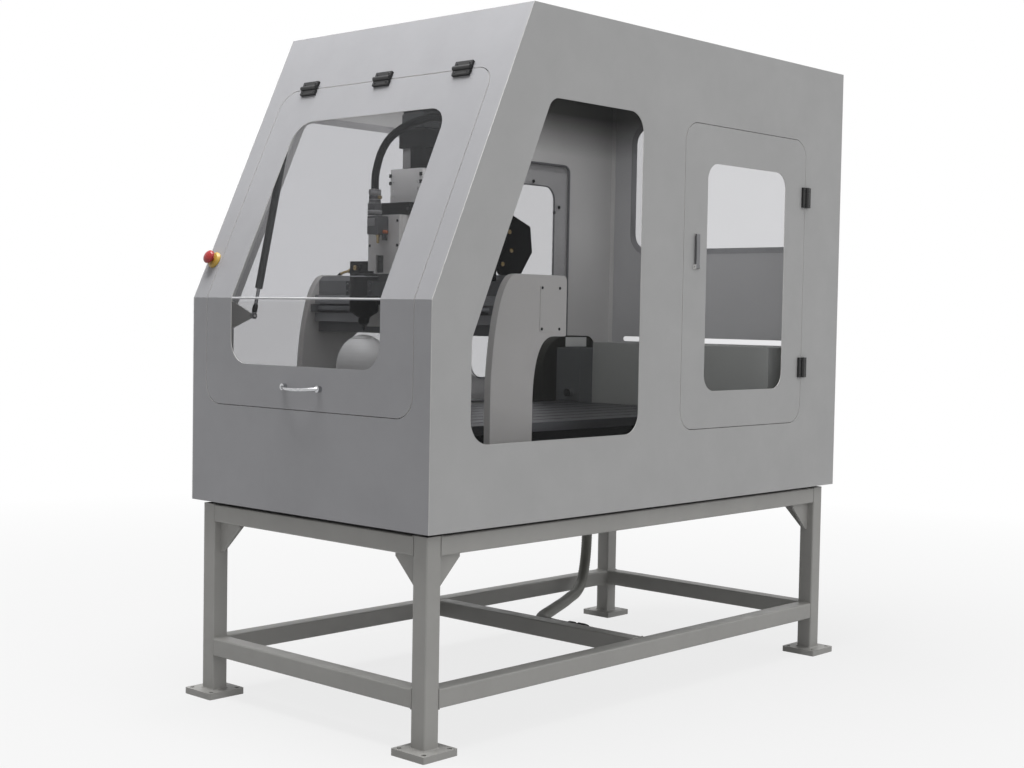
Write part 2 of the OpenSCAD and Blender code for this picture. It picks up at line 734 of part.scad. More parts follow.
// Bars with T-shaped gaps between them.
module table() color([0.22, 0.22, 0.23]) place()
    for (i = [0:table_bars - 1]) translate([-table_w / 2 + i * (table_w + slot_w) / table_bars, 0, 0]) {
        w = (table_w + slot_w) / table_bars - slot_w;
        first = i == 0 ? 0 : 4;
        last = i == table_bars - 1 ? 0 : 4;
        along_y(bed_y, table_l) polygon([
            [0, table_z], [w, table_z], [w, table_z - 9], [w - last, table_z - 9], [w - last, table_z - 18],
            [w, table_z - 18], [w, bed_top], [0, bed_top], [0, table_z - 18], [first, table_z - 18],
            [first, table_z - 9], [0, table_z - 9]
        ]);
    }

y_rail_z = bed_top - 79;
y_rail_x = bed_x + 40;

module y_rails() color([0.7, 0.7, 0.72]) place() both_sides()
    along_y(bed_y + 5, table_l - 10) translate([y_rail_x, y_rail_z]) polygon([
        [0, -11], [9, -11], [11, -8], [14, -11], [18, -11],
        [18, 11], [14, 11], [11, 8], [9, 11], [0, 11]
    ]);

rear_box = [-290, 440];
drive_y = [1480, 1600];
hood_y = [1428, 1713];

module rear_housing() color([0.42, 0.43, 0.42]) place() difference() {
    block([rear_box[0], 1550, z0 + sheet], [rear_box[1], cab_d - 30, z0 + 455]);
    block([rear_box[0] + 3, 1553, z0], [rear_box[1] - 3, cab_d, z0 + 452]);
}

module drive_box() color([0.35, 0.35, 0.36]) place() {
    difference() {
        block([-396, drive_y[0], z0 + sheet], [rear_box[0] - 0.5, drive_y[1], z0 + 434]);
        block([-392, drive_y[0] + 4, z0], [rear_box[0] - 4.5, drive_y[1] - 4, z0 + 430]);
    }
    // the rubber stop at the end of the travel
    translate([-325, drive_y[0], table_z + 30]) rotate([90, 0, 0]) {
        cylinder(r = 13, h = 8);
        cylinder(r1 = 9, r2 = 13, h = 22);
        translate([0, 0, 22]) cylinder(r = 13, h = 6);
    }
}

// A hood with a round top over the cables that come up behind the bed.
module hood_shape(t) polygon(rounded(
    [[hood_y[0] + t, z0 + sheet - t], [hood_y[1] - t, z0 + sheet - t],
        [hood_y[1] - t, z0 + 475 - t], [hood_y[0] + t, z0 + 475 - t]],
    [1, 1, 50 - t, 120 - t]
));

module cable_hood() color([0.3, 0.3, 0.27]) place() difference() {
    along_x(-466, 50) hood_shape(0);
    along_x(-463, 44) hood_shape(3);
}

module work_piece() color([0.8, 0.8, 0.78]) place()
    translate([spindle_x, spindle_y, table_z]) difference() {
    rotate_extrude($fn = 72) polygon(concat(
        [[0, 0], [work_r + 12, 0], [work_r + 12, 10], [work_r, 12]],
        bezier([work_r, work_h - 95], [work_r, work_h - 45], [work_r * 0.62, work_h], [0, work_h], 12)
    ));
    for (a = [45:90:315]) rotate(a) translate([work_r + 6, 0, -1]) cylinder(r = 2.5, h = 20);
    translate([0, 0, work_h - 16]) difference() {
        cylinder(r = 37, h = 30);
        translate([0, 0, -1]) cylinder(r = 34, h = 40);
    }
}

// ---------------------------------------------------------------- gantry

leg_foot_z = z0 + 54;

// Drawn from the front of the leg and down from the gantry's top.
module gantry_plate() along_x(gantry_in, gantry_t) translate([gantry_y, gantry_z]) polygon(concat(
    [[0, leg_foot_z - gantry_z]],
    bezier([0, -292], [8, -140], [38, 0], [96, 0], 14),
    corner([0, 0], [299, 0], [299, -160], 14, 6),
    corner([299, 0], [299, -167], [244, -167], 6, 4),
    bezier([246, -167], [190, -167], [166, -240], [165, -345], 14),
    [[165, leg_foot_z - gantry_z]]
));

module gantry_side_right() color([0.62, 0.61, 0.59]) place() gantry_plate();
module gantry_side_left() color([0.62, 0.61, 0.59]) place() mirror([1, 0, 0]) gantry_plate();

module access_plate() color([0.64, 0.63, 0.61]) place() difference() {
    along_x(gantry_x, 2) translate([gantry_y + 232, gantry_z - 91]) round_rect(86, 126, 4);
    for (y = [-36, 36], z = [-56, 56]) translate([gantry_x + 1.2, gantry_y + 232 + y, gantry_z - 91 + z])
        rotate([0, 90, 0]) cylinder(r = 3.2, h = 3);
}

module y_blocks() color([0.3, 0.3, 0.32]) place() both_sides()
    for (y = [gantry_y + 14, gantry_y + 94]) along_y(y, 62) difference() {
        translate([y_rail_x + 6, y_rail_z - 24]) square([gantry_in - y_rail_x - 6, 48]);
        translate([y_rail_x + 5, y_rail_z - 11.5]) square([13.5, 23]);
    }

module x_beam() color([0.2, 0.2, 0.21]) place() {
    difference() {
        along_x(-gantry_in, 2 * gantry_in) polygon([
            [beam_y, beam_z], [558, beam_z], [558, gantry_z - 4], [beam_y + 14, gantry_z - 4],
            [beam_y, gantry_z - 18], [beam_y, rail_hi + 15], [beam_y + 4, rail_hi + 13],
            [beam_y + 4, rail_lo - 13], [beam_y, rail_lo - 15]
        ]);
        along_x(-gantry_in - 1, 2 * gantry_in + 2) translate([beam_y + 12, beam_z + 8]) square([166, 146]);
    }
    // the end bearings of the screw
    for (x = [-gantry_in, gantry_in - 22]) difference() {
        block([x, beam_y - 32, screw_z - 11.5], [x + 22, beam_y + 4, screw_z + 11.5]);
        translate([x - 1, beam_y - 17, screw_z]) rotate([0, 90, 0]) cylinder(r = screw_r - 2 + fit, h = 24);
    }
}

module x_rails() color([0.66, 0.66, 0.68]) place() for (z = [rail_hi, rail_lo])
    along_x(-gantry_in + 1, 2 * gantry_in - 2) translate([beam_y, z]) polygon([
        [4, -13], [-6, -13], [-8, -10], [-11, -13], [-16, -13],
        [-16, 13], [-11, 13], [-8, 10], [-6, 13], [4, 13]
    ]);

module x_screw() color([0.75, 0.75, 0.76]) place() translate([0, beam_y - 17, screw_z]) rotate([0, 90, 0]) {
    translate([0, 0, -gantry_in + 22.5]) cylinder(r = screw_r, h = 2 * gantry_in - 45);
    translate([0, 0, -gantry_in + 4]) cylinder(r = screw_r - 2, h = 2 * gantry_in - 8);
}

drive_at = [beam_y + 48, gantry_z + 69];

module x_drive_plate() color([0.1, 0.1, 0.1]) place() difference() {
    along_x(gantry_in - 20, 8) polygon([
        for (p = [[-72, -46], [-46, -73], [30, -73], [77, -8], [68, 61], [-5, 89], [-26, 81], [-26, -2]])
            drive_at + p
    ]);
    for (p = [[-15, 43], [-6, -6], [-40, -44]])
        translate([gantry_in - 14, drive_at[0] + p[0], drive_at[1] + p[1]])
            rotate([0, 90, 0]) cylinder(r = 4, h = 4);
}

module x_motor() color([0.13, 0.13, 0.14]) place()
    translate([gantry_in - 20 - 112, drive_at[0] + 18, drive_at[1] + 8]) rotate([90, 0, 90])
        linear_extrude(112) round_rect(86, 86, 8);

module cable_block() color([0.12, 0.12, 0.12]) place() translate([-329, 450, gantry_z]) {
    block([0, 0, -4], [83, 55, 42]);
    translate([0, 28, 14]) rotate([0, -90, 0]) {
        cylinder(r = 11, h = 12, $fn = 6);
        cylinder(r = 8, h = 26);
    }
    translate([45, 0, 22]) rotate([90, 0, 0]) cylinder(r = 9, h = 12, $fn = 6);
}

// ---------------------------------------------------------------- carriage and Z axis

car_l = spindle_x - 72;
car_r = spindle_x + 72;

module carriage() color([0.5, 0.5, 0.51]) place() {
    block([car_l, column_y, rail_lo - 24], [car_r, plate_back, gantry_z]);
    for (x = [car_l + 4, car_r - 54], z = [rail_hi, rail_lo]) along_x(x, 50) difference() {
        translate([plate_back - tiny, z - 17]) square([beam_y - 0.6 - plate_back, 34]);
        translate([beam_y - 16.5, z - 13.5]) square([30, 27]);
    }
    // the nut on the screw
    difference() {
        block(
            [spindle_x - 16, plate_back - tiny, screw_z - 11], [spindle_x + 16, beam_y - 3, screw_z + 11]
        );
        translate([spindle_x - 20, beam_y - 17, screw_z]) rotate([0, 90, 0])
            cylinder(r = screw_r + fit, h = 40);
    }
}

module z_housing() color([0.68, 0.68, 0.68]) place() {
    front = column_y - lamina;
    translate([spindle_x, column_y + 33 - tiny, gantry_z]) linear_extrude(163) round_rect(120, 66, 4);
    // the front plate with its slot
    difference() {
        block([spindle_x - 67, front, rail_lo - 24], [spindle_x + 60, column_y, gantry_z + 163]);
        block([spindle_x - 35, front - 1, gantry_z + 2], [spindle_x - 3, column_y, gantry_z + 51]);
    }
    // the connector in front of the plate
    block([spindle_x - 26, front - 41, gantry_z + 108], [spindle_x + 16, front + tiny, gantry_z + 158]);
    translate([whip_from[0], whip_from[1], gantry_z + 158 - tiny]) cylinder(r = 19, h = 36, $fn = 8);
    translate([whip_from[0], whip_from[1], gantry_z + 190]) cylinder(r = 16, h = 43);
}

module z_motor_mount() color([0.1, 0.1, 0.1]) place() translate([spindle_x + 4, 396, gantry_z + 163])
    linear_extrude(36) round_rect(134, 128, 6);

motor_y = 420;

module z_motor_cover() color([0.66, 0.66, 0.66]) place() translate([spindle_x + 8, motor_y, gantry_z + 199])
    difference() {
        linear_extrude(98) round_rect(132, 92, 5);
        for (z = [20, 40, 60], x = [-50, 50]) translate([x, -47, z]) rotate([-90, 0, 0])
            cylinder(r = 3.5, h = 4);
    }

module z_motor() color([0.12, 0.12, 0.13]) place() translate([spindle_x + 32, motor_y, gantry_z + 297]) {
    linear_extrude(58) round_rect(86, 86, 10);
    translate([0, 0, 58]) linear_extrude(49) round_rect(106, 106, 12);
}

// ---------------------------------------------------------------- spindle

slide_y = column_y - lamina - 13;

module spindle_slide() color([0.6, 0.6, 0.61]) place() {
    block([spindle_x - 24, slide_y, tip_z + 72], [spindle_x + 40, slide_y + 12.5, gantry_z - 2]);
    // the clamp round the spindle
    difference() {
        block([spindle_x - 54, spindle_y - 20, tip_z + 96], [spindle_x + 54, slide_y + tiny, tip_z + 136]);
        translate([spindle_x, spindle_y, tip_z]) cylinder(r = spindle_r + 0.2, h = 200);
    }
}

module spindle_body() color([0.1, 0.1, 0.11]) place()
    translate([spindle_x, spindle_y, tip_z]) difference() {
    rotate_extrude($fn = 64) polygon([
        [0, 36], [16, 36], [20, 38], [spindle_r - 3, 50], [spindle_r, 54], [spindle_r, 150],
        [spindle_r - 4, 156], [26, 158], [26, 164], [0, 164]
    ]);
    translate([0, 0, 30]) cylinder(r = 10 + fit, h = 60);
}

module collet_nut() color([0.16, 0.16, 0.17]) place()
    translate([spindle_x, spindle_y, tip_z]) difference() {
    union() {
        translate([0, 0, 26]) cylinder(r = 10, h = 63);
        translate([0, 0, 16]) cylinder(r1 = 10, r2 = 15, h = 6);
        translate([0, 0, 22]) cylinder(r = 15, h = 13);
    }
    translate([0, 0, 10]) cylinder(r = 3, h = 40);
}

module tool() color([0.55, 0.55, 0.56]) place() translate([spindle_x, spindle_y, tip_z]) {
    translate([0, 0, 3]) cylinder(r = 3, h = 45);
    cylinder(r1 = 1, r2 = 3, h = 3);
}

whip_from = [spindle_x - 13, column_y - lamina - 26];
whip_path = [
    for (p = [
        [-13, 277, 233.3], [-13, 277, 260], [-10, 278, 286], [-1, 285, 330], [14, 296, 366], [39, 306, 390],
        [70, 320, 410], [108, 336, 423], [147, 349, 430], [191, 362, 418], [225, 378, 384], [237, 392, 338],
        [225, 406, 292], [191, 416, 258], [149, 420, 246], [100, 420, 245]
    ]) [spindle_x + p[0], p[1], gantry_z + p[2]]
];

module spindle_conduit() color([0.08, 0.08, 0.08]) place() {
    bar(run(whip_path, 2), whip_r);
    translate([spindle_x + 74, motor_y, gantry_z + 245]) rotate([0, 90, 0]) {
        cylinder(r = 15, h = 14, $fn = 8);
        cylinder(r = 12.5, h = 25.7);
    }
}

// ---------------------------------------------------------------- parts

legs();
top_frame();
lower_rails();
cross_rail();
mount_pads();
floor_pan();
side_panel_left();
side_panel_right();
front_panel();
roof_panel();
rear_panel();
windows_left();
window_right();
window_rear();
front_door();
front_door_window();
front_door_handle();
front_hinge_bases();
front_hinge_leaves();
strut_cabinet_brackets();
strut_door_brackets();
strut_rods();
strut_cylinders();
side_door();
side_door_window();
side_door_latch();
side_hinge_bases();
side_hinge_leaves();
estop_collar();
estop_button();
floor_conduit();
conduit_fittings();
conduit_connector();
bed_frame();
table();
y_rails();
rear_housing();
drive_box();
cable_hood();
work_piece();
gantry_side_left();
gantry_side_right();
access_plate();
y_blocks();
x_beam();
x_rails();
x_screw();
x_drive_plate();
x_motor();
cable_block();
carriage();
z_housing();
z_motor_mount();
z_motor_cover();
z_motor();
spindle_slide();
spindle_body();
collet_nut();
tool();
spindle_conduit();
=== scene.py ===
"""The enclosed table-top router on its stand: finishes, small fittings, floor, light and camera."""

import math

import bmesh
import bpy
from mathutils import Matrix, Vector


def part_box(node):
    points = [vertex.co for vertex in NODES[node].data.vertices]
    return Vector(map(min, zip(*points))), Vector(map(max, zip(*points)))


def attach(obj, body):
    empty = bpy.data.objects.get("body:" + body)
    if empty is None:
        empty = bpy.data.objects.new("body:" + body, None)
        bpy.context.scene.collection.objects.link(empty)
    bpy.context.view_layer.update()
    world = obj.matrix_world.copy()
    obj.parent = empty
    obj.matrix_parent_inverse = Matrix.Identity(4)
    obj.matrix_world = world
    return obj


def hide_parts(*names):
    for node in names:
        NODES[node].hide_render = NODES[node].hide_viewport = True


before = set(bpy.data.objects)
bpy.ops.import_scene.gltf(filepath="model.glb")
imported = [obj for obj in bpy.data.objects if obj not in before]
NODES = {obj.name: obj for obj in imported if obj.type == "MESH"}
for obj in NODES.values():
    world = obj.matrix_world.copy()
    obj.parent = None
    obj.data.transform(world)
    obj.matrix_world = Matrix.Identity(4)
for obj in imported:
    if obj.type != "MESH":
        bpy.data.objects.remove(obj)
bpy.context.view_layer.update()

# ---------------------------------------------------------------- places, worked out from the frame

FORWARD, RIGHT, LEFT, UP, DOWN = (0, -1, 0), (1, 0, 0), (-1, 0, 0), (0, 0, 1), (0, 0, -1)

FRONT_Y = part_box("side_panel_right")[0][1]
ROOF_FRONT_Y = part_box("roof_panel")[0][1]
ROOF_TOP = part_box("roof_panel")[1][2]
BEND_Z = 1.146  # where the front folds back
LEAN = math.atan((ROOF_FRONT_Y - FRONT_Y) / (ROOF_TOP - BEND_Z))
SLOPE_OUT = Vector((0, -math.cos(LEAN), math.sin(LEAN)))


def at(x, y, z):
    """A point given in millimetres from the cabinet's front edge, in the row frame."""
    return Vector((x / 1000, y / 1000 + FRONT_Y, z / 1000))


def on_slope(x, up, out):
    """A point on the sloped front in millimetres: across, up the sheet from the bend, and out of the sheet."""
    return at(
        x,
        up * math.sin(LEAN) - out * math.cos(LEAN),
        BEND_Z * 1000 + up * math.cos(LEAN) + out * math.sin(LEAN),
    )


def box(node):
    """A node's lowest and highest corners in the millimetres that at() takes."""
    low, high = (Vector(corner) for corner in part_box(node))
    shift = Vector((0, FRONT_Y, 0))
    return (low - shift) * 1000, (high - shift) * 1000


def middle(node):
    """The middle of that box."""
    low, high = box(node)
    return (low + high) / 2


# ---------------------------------------------------------------- camera

CAMERA_YAW, CAMERA_PITCH, CAMERA_ROLL = 0.7466, 0.0446, 0.0177
CAMERA_PLACE = (3.20704, -3.58483, 1.11204)
CAMERA_LENS = 54.48


def make_camera():
    """A camera where the photograph was taken from."""
    level = math.cos(CAMERA_PITCH)
    look = Vector((-math.sin(CAMERA_YAW) * level, math.cos(CAMERA_YAW) * level, -math.sin(CAMERA_PITCH)))
    right = Vector((math.cos(CAMERA_YAW), math.sin(CAMERA_YAW), 0))
    up = right.cross(look)
    tilted_right = right * math.cos(CAMERA_ROLL) + up * math.sin(CAMERA_ROLL)
    tilted_up = up * math.cos(CAMERA_ROLL) - right * math.sin(CAMERA_ROLL)
    data = bpy.data.cameras.new("camera")
    data.lens = CAMERA_LENS
    data.sensor_width = 36
    data.clip_end = 60
    camera = bpy.data.objects.new("camera", data)
    bpy.context.scene.collection.objects.link(camera)
    place = Matrix((tilted_right, tilted_up, -look)).transposed().to_4x4()
    place.translation = Vector(CAMERA_PLACE)
    camera.matrix_world = place
    bpy.context.scene.camera = camera


make_camera()

# ---------------------------------------------------------------- mesh helpers

CREASE = math.radians(38)  # edges that turn more than this stay sharp on a smooth piece
SQUARE = ((-1, -1), (1, -1), (1, 1), (-1, 1))  # the corners of a square, in order round it


def to_object(name, bm, smooth=True):
    """Turns a finished bmesh into an object in the scene."""
    mesh = bpy.data.meshes.new(name)
    bmesh.ops.recalc_face_normals(bm, faces=bm.faces)
    bm.to_mesh(mesh)
    bm.free()
    for polygon in mesh.polygons:
        polygon.use_smooth = smooth
    obj = bpy.data.objects.new(name, mesh)
    bpy.context.scene.collection.objects.link(obj)
    if smooth:
        mesh.set_sharp_from_angle(angle=CREASE)
    return obj


def across(direction):
    """Two unit vectors square to a direction."""
    side = Vector((0, 0, 1)) if abs(direction.z) < 0.9 else Vector((1, 0, 0))
    first = direction.cross(side).normalized()
    return first, direction.cross(first).normalized()


def ring_of(bm, centre, first, second, radius, sides):
    """A ring of vertices round a centre, in the plane of two unit vectors."""
    angles = (2 * math.pi * k / sides for k in range(sides))
    return [bm.verts.new(centre + (first * math.cos(a) + second * math.sin(a)) * radius) for a in angles]


def skin(bm, rings, shut=True):
    """Faces between neighbouring rings, and over both ends where they are shut."""
    for low, high in zip(rings, rings[1:]):
        for k in range(len(low)):
            after = (k + 1) % len(low)
            bm.faces.new((low[k], low[after], high[after], high[k]))
    if shut:
        bm.faces.new(rings[0])
        bm.faces.new(rings[-1])


def heading(points, i):
    """The direction in which a path runs at one of its points."""
    return (points[min(i + 1, len(points) - 1)] - points[max(i - 1, 0)]).normalized()


def tube(bm, path, radii, sides=12, shut=True):
    """Skins a tube along a path, with one radius or a radius for each point."""
    points = [Vector(p) for p in path]
    if isinstance(radii, float):
        radii = [radii] * len(points)
    first, _ = across((points[1] - points[0]).normalized())
    rings = []
    for i, point in enumerate(points):
        ahead = heading(points, i)
        first = (first - ahead * first.dot(ahead)).normalized()
        rings.append(ring_of(bm, point, first, ahead.cross(first), radii[i], sides))
    skin(bm, rings, shut)


def turned(bm, base, out, profile, sides=24):
    """Turns a profile of (radius, distance along out) round an axis."""
    base, out = Vector(base), Vector(out).normalized()
    first, second = across(out)
    skin(bm, [ring_of(bm, base + out * along, first, second, radius, sides) for radius, along in profile])


def screw_head(bm, base, out, radius, height):
    """A button head with a socket, its underside sunk a hair below base."""
    base, out = Vector(base), Vector(out).normalized()
    turned(bm, base - out * 0.0002, out, [
        (radius, 0), (radius, height * 0.35), (radius * 0.88, height * 0.75),
        (radius * 0.62, height), (radius * 0.48, height), (radius * 0.44, height * 0.45),
    ], 18)


def hexagon(bm, base, out, radius, height):
    """A hexagon nut or head with its corners turned off."""
    turned(bm, base, out, [
        (radius * 0.93, 0), (radius, height * 0.12), (radius, height * 0.86), (radius * 0.9, height),
        (radius * 0.6, height), (radius * 0.56, height * 0.82),
    ], 6)


def slab(bm, low, high, bevel):
    """A block with bevelled edges between two corners."""
    low, high = Vector(low), Vector(high)
    made = bmesh.ops.create_cube(bm, size=1.0)["verts"]
    for vert in made:
        vert.co = Vector((low[i] + high[i]) / 2 + vert.co[i] * (high[i] - low[i]) for i in range(3))
    edges = list(dict.fromkeys(edge for vert in made for edge in vert.link_edges))
    bmesh.ops.bevel(bm, geom=edges, offset=bevel, segments=2, affect="EDGES", profile=0.6)


def sheet_wall(bm, line, low, high, thick):
    """An upright wall of even thickness that stands on a line, from one height to another."""
    points = [Vector((p[0], p[1])) for p in line]
    columns = []
    for i, point in enumerate(points):
        ahead = heading(points, i)
        behind = point + Vector((-ahead.y, ahead.x)) * thick
        corners = ((point, low), (point, high), (behind, high), (behind, low))
        columns.append([bm.verts.new((flat.x, flat.y, height)) for flat, height in corners])
    skin(bm, columns)


def smooth_path(points, step):
    """Points on a smooth curve through the given ones, about a step apart."""
    points = [Vector(p) for p in points]
    ends = [points[0] * 2 - points[1]] + points + [points[-1] * 2 - points[-2]]
    out = []
    for i in range(1, len(ends) - 2):
        a, b, c, d = ends[i - 1:i + 3]
        count = max(1, round((c - b).length / step))
        for k in range(count):
            t = k / count
            bend = (2 * a - 5 * b + 4 * c - d) * t * t + (3 * b - 3 * c + d - a) * t ** 3
            out.append(0.5 * (2 * b + (c - a) * t + bend))
    out.append(points[-1])
    return out


# ---------------------------------------------------------------- materials


class Nodes:
    """Short helpers for the node tree of a material or the world."""

    def __init__(self, holder, output="ShaderNodeOutputMaterial"):
        holder.use_nodes = True
        self.tree = holder.node_tree
        self.tree.nodes.clear()
        self.out = self.add(output)
        self.coordinates = self.add("ShaderNodeTexCoord")
        self.place = self.coordinates.outputs["Object"]

    def add(self, kind, **values):
        node = self.tree.nodes.new(kind)
        for key, value in values.items():
            setattr(node, key, value)
        return node

    def link(self, a, b):
        self.tree.links.new(a, b)

    def give(self, socket, value):
        """Links an output to a socket, or writes a plain value there."""
        if isinstance(value, bpy.types.NodeSocket):
            self.link(value, socket)
        else:
            socket.default_value = value

    def math(self, operation, *values):
        node = self.add("ShaderNodeMath", operation=operation)
        for socket, value in zip(node.inputs, values):
            self.give(socket, value)
        return node.outputs[0]

    def mix_colour(self, share, first, second):
        """The first colour, turning to the second as share goes from 0 to 1."""
        node = self.add("ShaderNodeMix", data_type="RGBA")
        for socket, value in ((0, share), (6, first), (7, second)):
            self.give(node.inputs[socket], value)
        return node.outputs[2]

    def mix_shader(self, share, first, second):
        node = self.add("ShaderNodeMixShader")
        for socket, value in enumerate((share, first, second)):
            self.give(node.inputs[socket], value)
        return node.outputs["Shader"]

    def stretch(self, scale):
        """The object's coordinates, stretched along the axes."""
        mapping = self.add("ShaderNodeMapping")
        mapping.inputs["Scale"].default_value = scale
        self.link(self.place, mapping.inputs["Vector"])
        return mapping.outputs["Vector"]

    def height_and_depth(self):
        """The object's Z and Y coordinates."""
        apart = self.add("ShaderNodeSeparateXYZ")
        self.link(self.place, apart.inputs[0])
        return apart.outputs["Z"], apart.outputs["Y"]

    def noise(self, scale, detail=3.0, rough=0.5, vector=None, distortion=0.0):
        node = self.add("ShaderNodeTexNoise")
        node.inputs["Scale"].default_value = scale
        node.inputs["Detail"].default_value = detail
        node.inputs["Roughness"].default_value = rough
        node.inputs["Distortion"].default_value = distortion
        self.link(vector or self.place, node.inputs["Vector"])
        return node.outputs["Fac"]

    def shades(self, noise, colour, darker, lighter):
        """A linear colour that wanders with a noise between a darker and a lighter shade."""
        node = self.add("ShaderNodeValToRGB")
        for element, position, level in zip(node.color_ramp.elements, (0.3, 0.7), (darker, lighter)):
            element.position = position
            element.color = (*(min(1.0, c * level) for c in colour), 1)
        self.link(noise, node.inputs["Fac"])
        return node.outputs["Color"]

    def between(self, value, from_low, from_high, low, high):
        """value from one range to another, held at its ends."""
        node = self.add("ShaderNodeMapRange")
        for key, number in (("From Min", from_low), ("From Max", from_high), ("To Min", low), ("To Max", high)):
            node.inputs[key].default_value = number
        self.link(value, node.inputs["Value"])
        return node.outputs["Result"]

    def spread(self, noise, low, high):
        """A noise, which keeps to about 0.3 to 0.7, from low to high."""
        return self.between(noise, 0.3, 0.7, low, high)

    def bump(self, height, strength, distance, before=None):
        node = self.add("ShaderNodeBump")
        node.inputs["Strength"].default_value = strength
        node.inputs["Distance"].default_value = distance
        self.link(height, node.inputs["Height"])
        if before is not None:
            self.link(before, node.inputs["Normal"])
        return node.outputs["Normal"]

    def principled(self, **values):
        """A principled shader that is the material's surface."""
        node = self.add("ShaderNodeBsdfPrincipled")
        for key, value in values.items():
            node.inputs[key.replace("_", " ").title().replace("Ior", "IOR")].default_value = value
        self.link(node.outputs["BSDF"], self.out.inputs["Surface"])
        return node

    def seen(self):
        """1 where the camera looks, straight or by a mirror or a clear sheet."""
        path = self.add("ShaderNodeLightPath").outputs
        mirrored = self.math("MAXIMUM", path["Is Camera Ray"], path["Is Glossy Ray"])
        return self.math("MAXIMUM", mirrored, path["Is Transmission Ray"])


def linear(colour):
    """A colour as it shows on a screen, 0 to 255, to the linear values that shaders take."""
    return tuple(
        (c / 255 / 12.92) if c <= 10 else ((c / 255 + 0.055) / 1.055) ** 2.4
        for c in colour
    )


# Painted shade: under the roof and towards the back, the inner walls' colour turns to this dark grey, standing
# in for the shade that falls there.
PAINTED_SHADE_GREY = (84, 83, 80)
SHADE_HEIGHTS = (1.69, 1.84)  # the inner walls turn dark from the first height to the second,
SHADE_DEPTHS = (-0.30, 0.10)  # wholly so behind the second depth, and in front of the first
SHADE_IN_FRONT = 0.35  # by this share


def inner_painted_shade(n, look):
    """The walls' inner colour with painted shade, growing darker under the roof towards the back."""
    height, depth = n.height_and_depth()
    high = n.between(height, *SHADE_HEIGHTS, 0.0, 1.0)
    back = n.between(depth, *SHADE_DEPTHS, SHADE_IN_FRONT, 1.0)
    return n.mix_colour(n.math("MULTIPLY", high, back), look, (*linear(PAINTED_SHADE_GREY), 1))


LOOKS_TO_LIMIT = 0.75  # cosine of the angle up to which a face looks towards a direction


def looks_to(n, direction):
    """1 on the faces that look towards a direction."""
    facing = n.add("ShaderNodeVectorMath", operation="DOT_PRODUCT")
    n.link(n.add("ShaderNodeNewGeometry").outputs["True Normal"], facing.inputs[0])
    facing.inputs[1].default_value = Vector(direction).normalized()
    return n.math("GREATER_THAN", facing.outputs["Value"], LOOKS_TO_LIMIT)


def paint(name, colour, roughness=0.42, peel=0.06, grime=0.05, specular=0.5, outside=None, inner=None):
    """Powder-coated sheet metal: fine orange peel, faint mottling and dull patches.
    With outside, a direction, the faces that don't look that way take the inner colour, with its painted shade
    under the roof."""
    material = bpy.data.materials.new(name)
    n = Nodes(material)
    mottle = n.noise(5.0, 5.0, 0.6)
    smudge = n.noise(23.0, 4.0, 0.55, distortion=0.6)
    shader = n.principled(specular_ior_level=specular)
    look = n.shades(mottle, linear(colour), 1 - grime, 1 + grime * 0.5)
    if outside is not None:
        inner_look = n.shades(mottle, linear(inner), 1 - grime, 1 + grime * 0.5)
        # the inner colour carries the painted shade under the roof
        look = n.mix_colour(looks_to(n, outside), inner_painted_shade(n, inner_look), look)
    n.link(look, shader.inputs["Base Color"])
    n.link(n.spread(smudge, roughness - 0.05, roughness + 0.09), shader.inputs["Roughness"])
    dents = n.bump(n.noise(2.3, 2.0, 0.4), 0.12, 0.004)
    n.link(n.bump(n.noise(900.0, 2.0, 0.5), peel, 0.0006, dents), shader.inputs["Normal"])
    return material


def metal(name, colour, roughness=0.3, grain=(1, 60, 60), scale=12.0, depth=0.15):
    """Brushed or ground metal with a grain along one axis."""
    material = bpy.data.materials.new(name)
    n = Nodes(material)
    streaks = n.noise(scale, 6.0, 0.65, n.stretch(grain))
    shader = n.principled(metallic=1.0)
    n.link(n.shades(streaks, linear(colour), 0.86, 1.08), shader.inputs["Base Color"])
    n.link(n.spread(streaks, roughness - 0.07, roughness + 0.12), shader.inputs["Roughness"])
    n.link(n.bump(streaks, depth, 0.0004), shader.inputs["Normal"])
    return material


def plastic(name, colour, roughness=0.5, grain=0.12, scale=1400.0):
    """Moulded plastic or rubber with a fine spark-eroded grain."""
    material = bpy.data.materials.new(name)
    n = Nodes(material)
    shader = n.principled()
    patches = n.noise(14.0, 4.0, 0.6)
    n.link(n.shades(patches, linear(colour), 0.88, 1.1), shader.inputs["Base Color"])
    n.link(n.spread(patches, roughness - 0.08, roughness + 0.1), shader.inputs["Roughness"])
    n.link(n.bump(n.noise(scale, 2.0, 0.5), grain, 0.0005), shader.inputs["Normal"])
    return material


BEND_WIDTH = 0.012  # over which the door's pane changes its tint
PANE_GLOSS = (0.8, 0.82, 0.83)
# the milky layer's colour: dust, and on the door's pane partly painted reflection
PANE_DUST_AND_REFLECTION = (0.78, 0.79, 0.8)
MIRROR_STRAIGHT, MIRROR_GRAZING = 0.003, 0.4  # share of mirror seen straight on, and added at a grazing angle


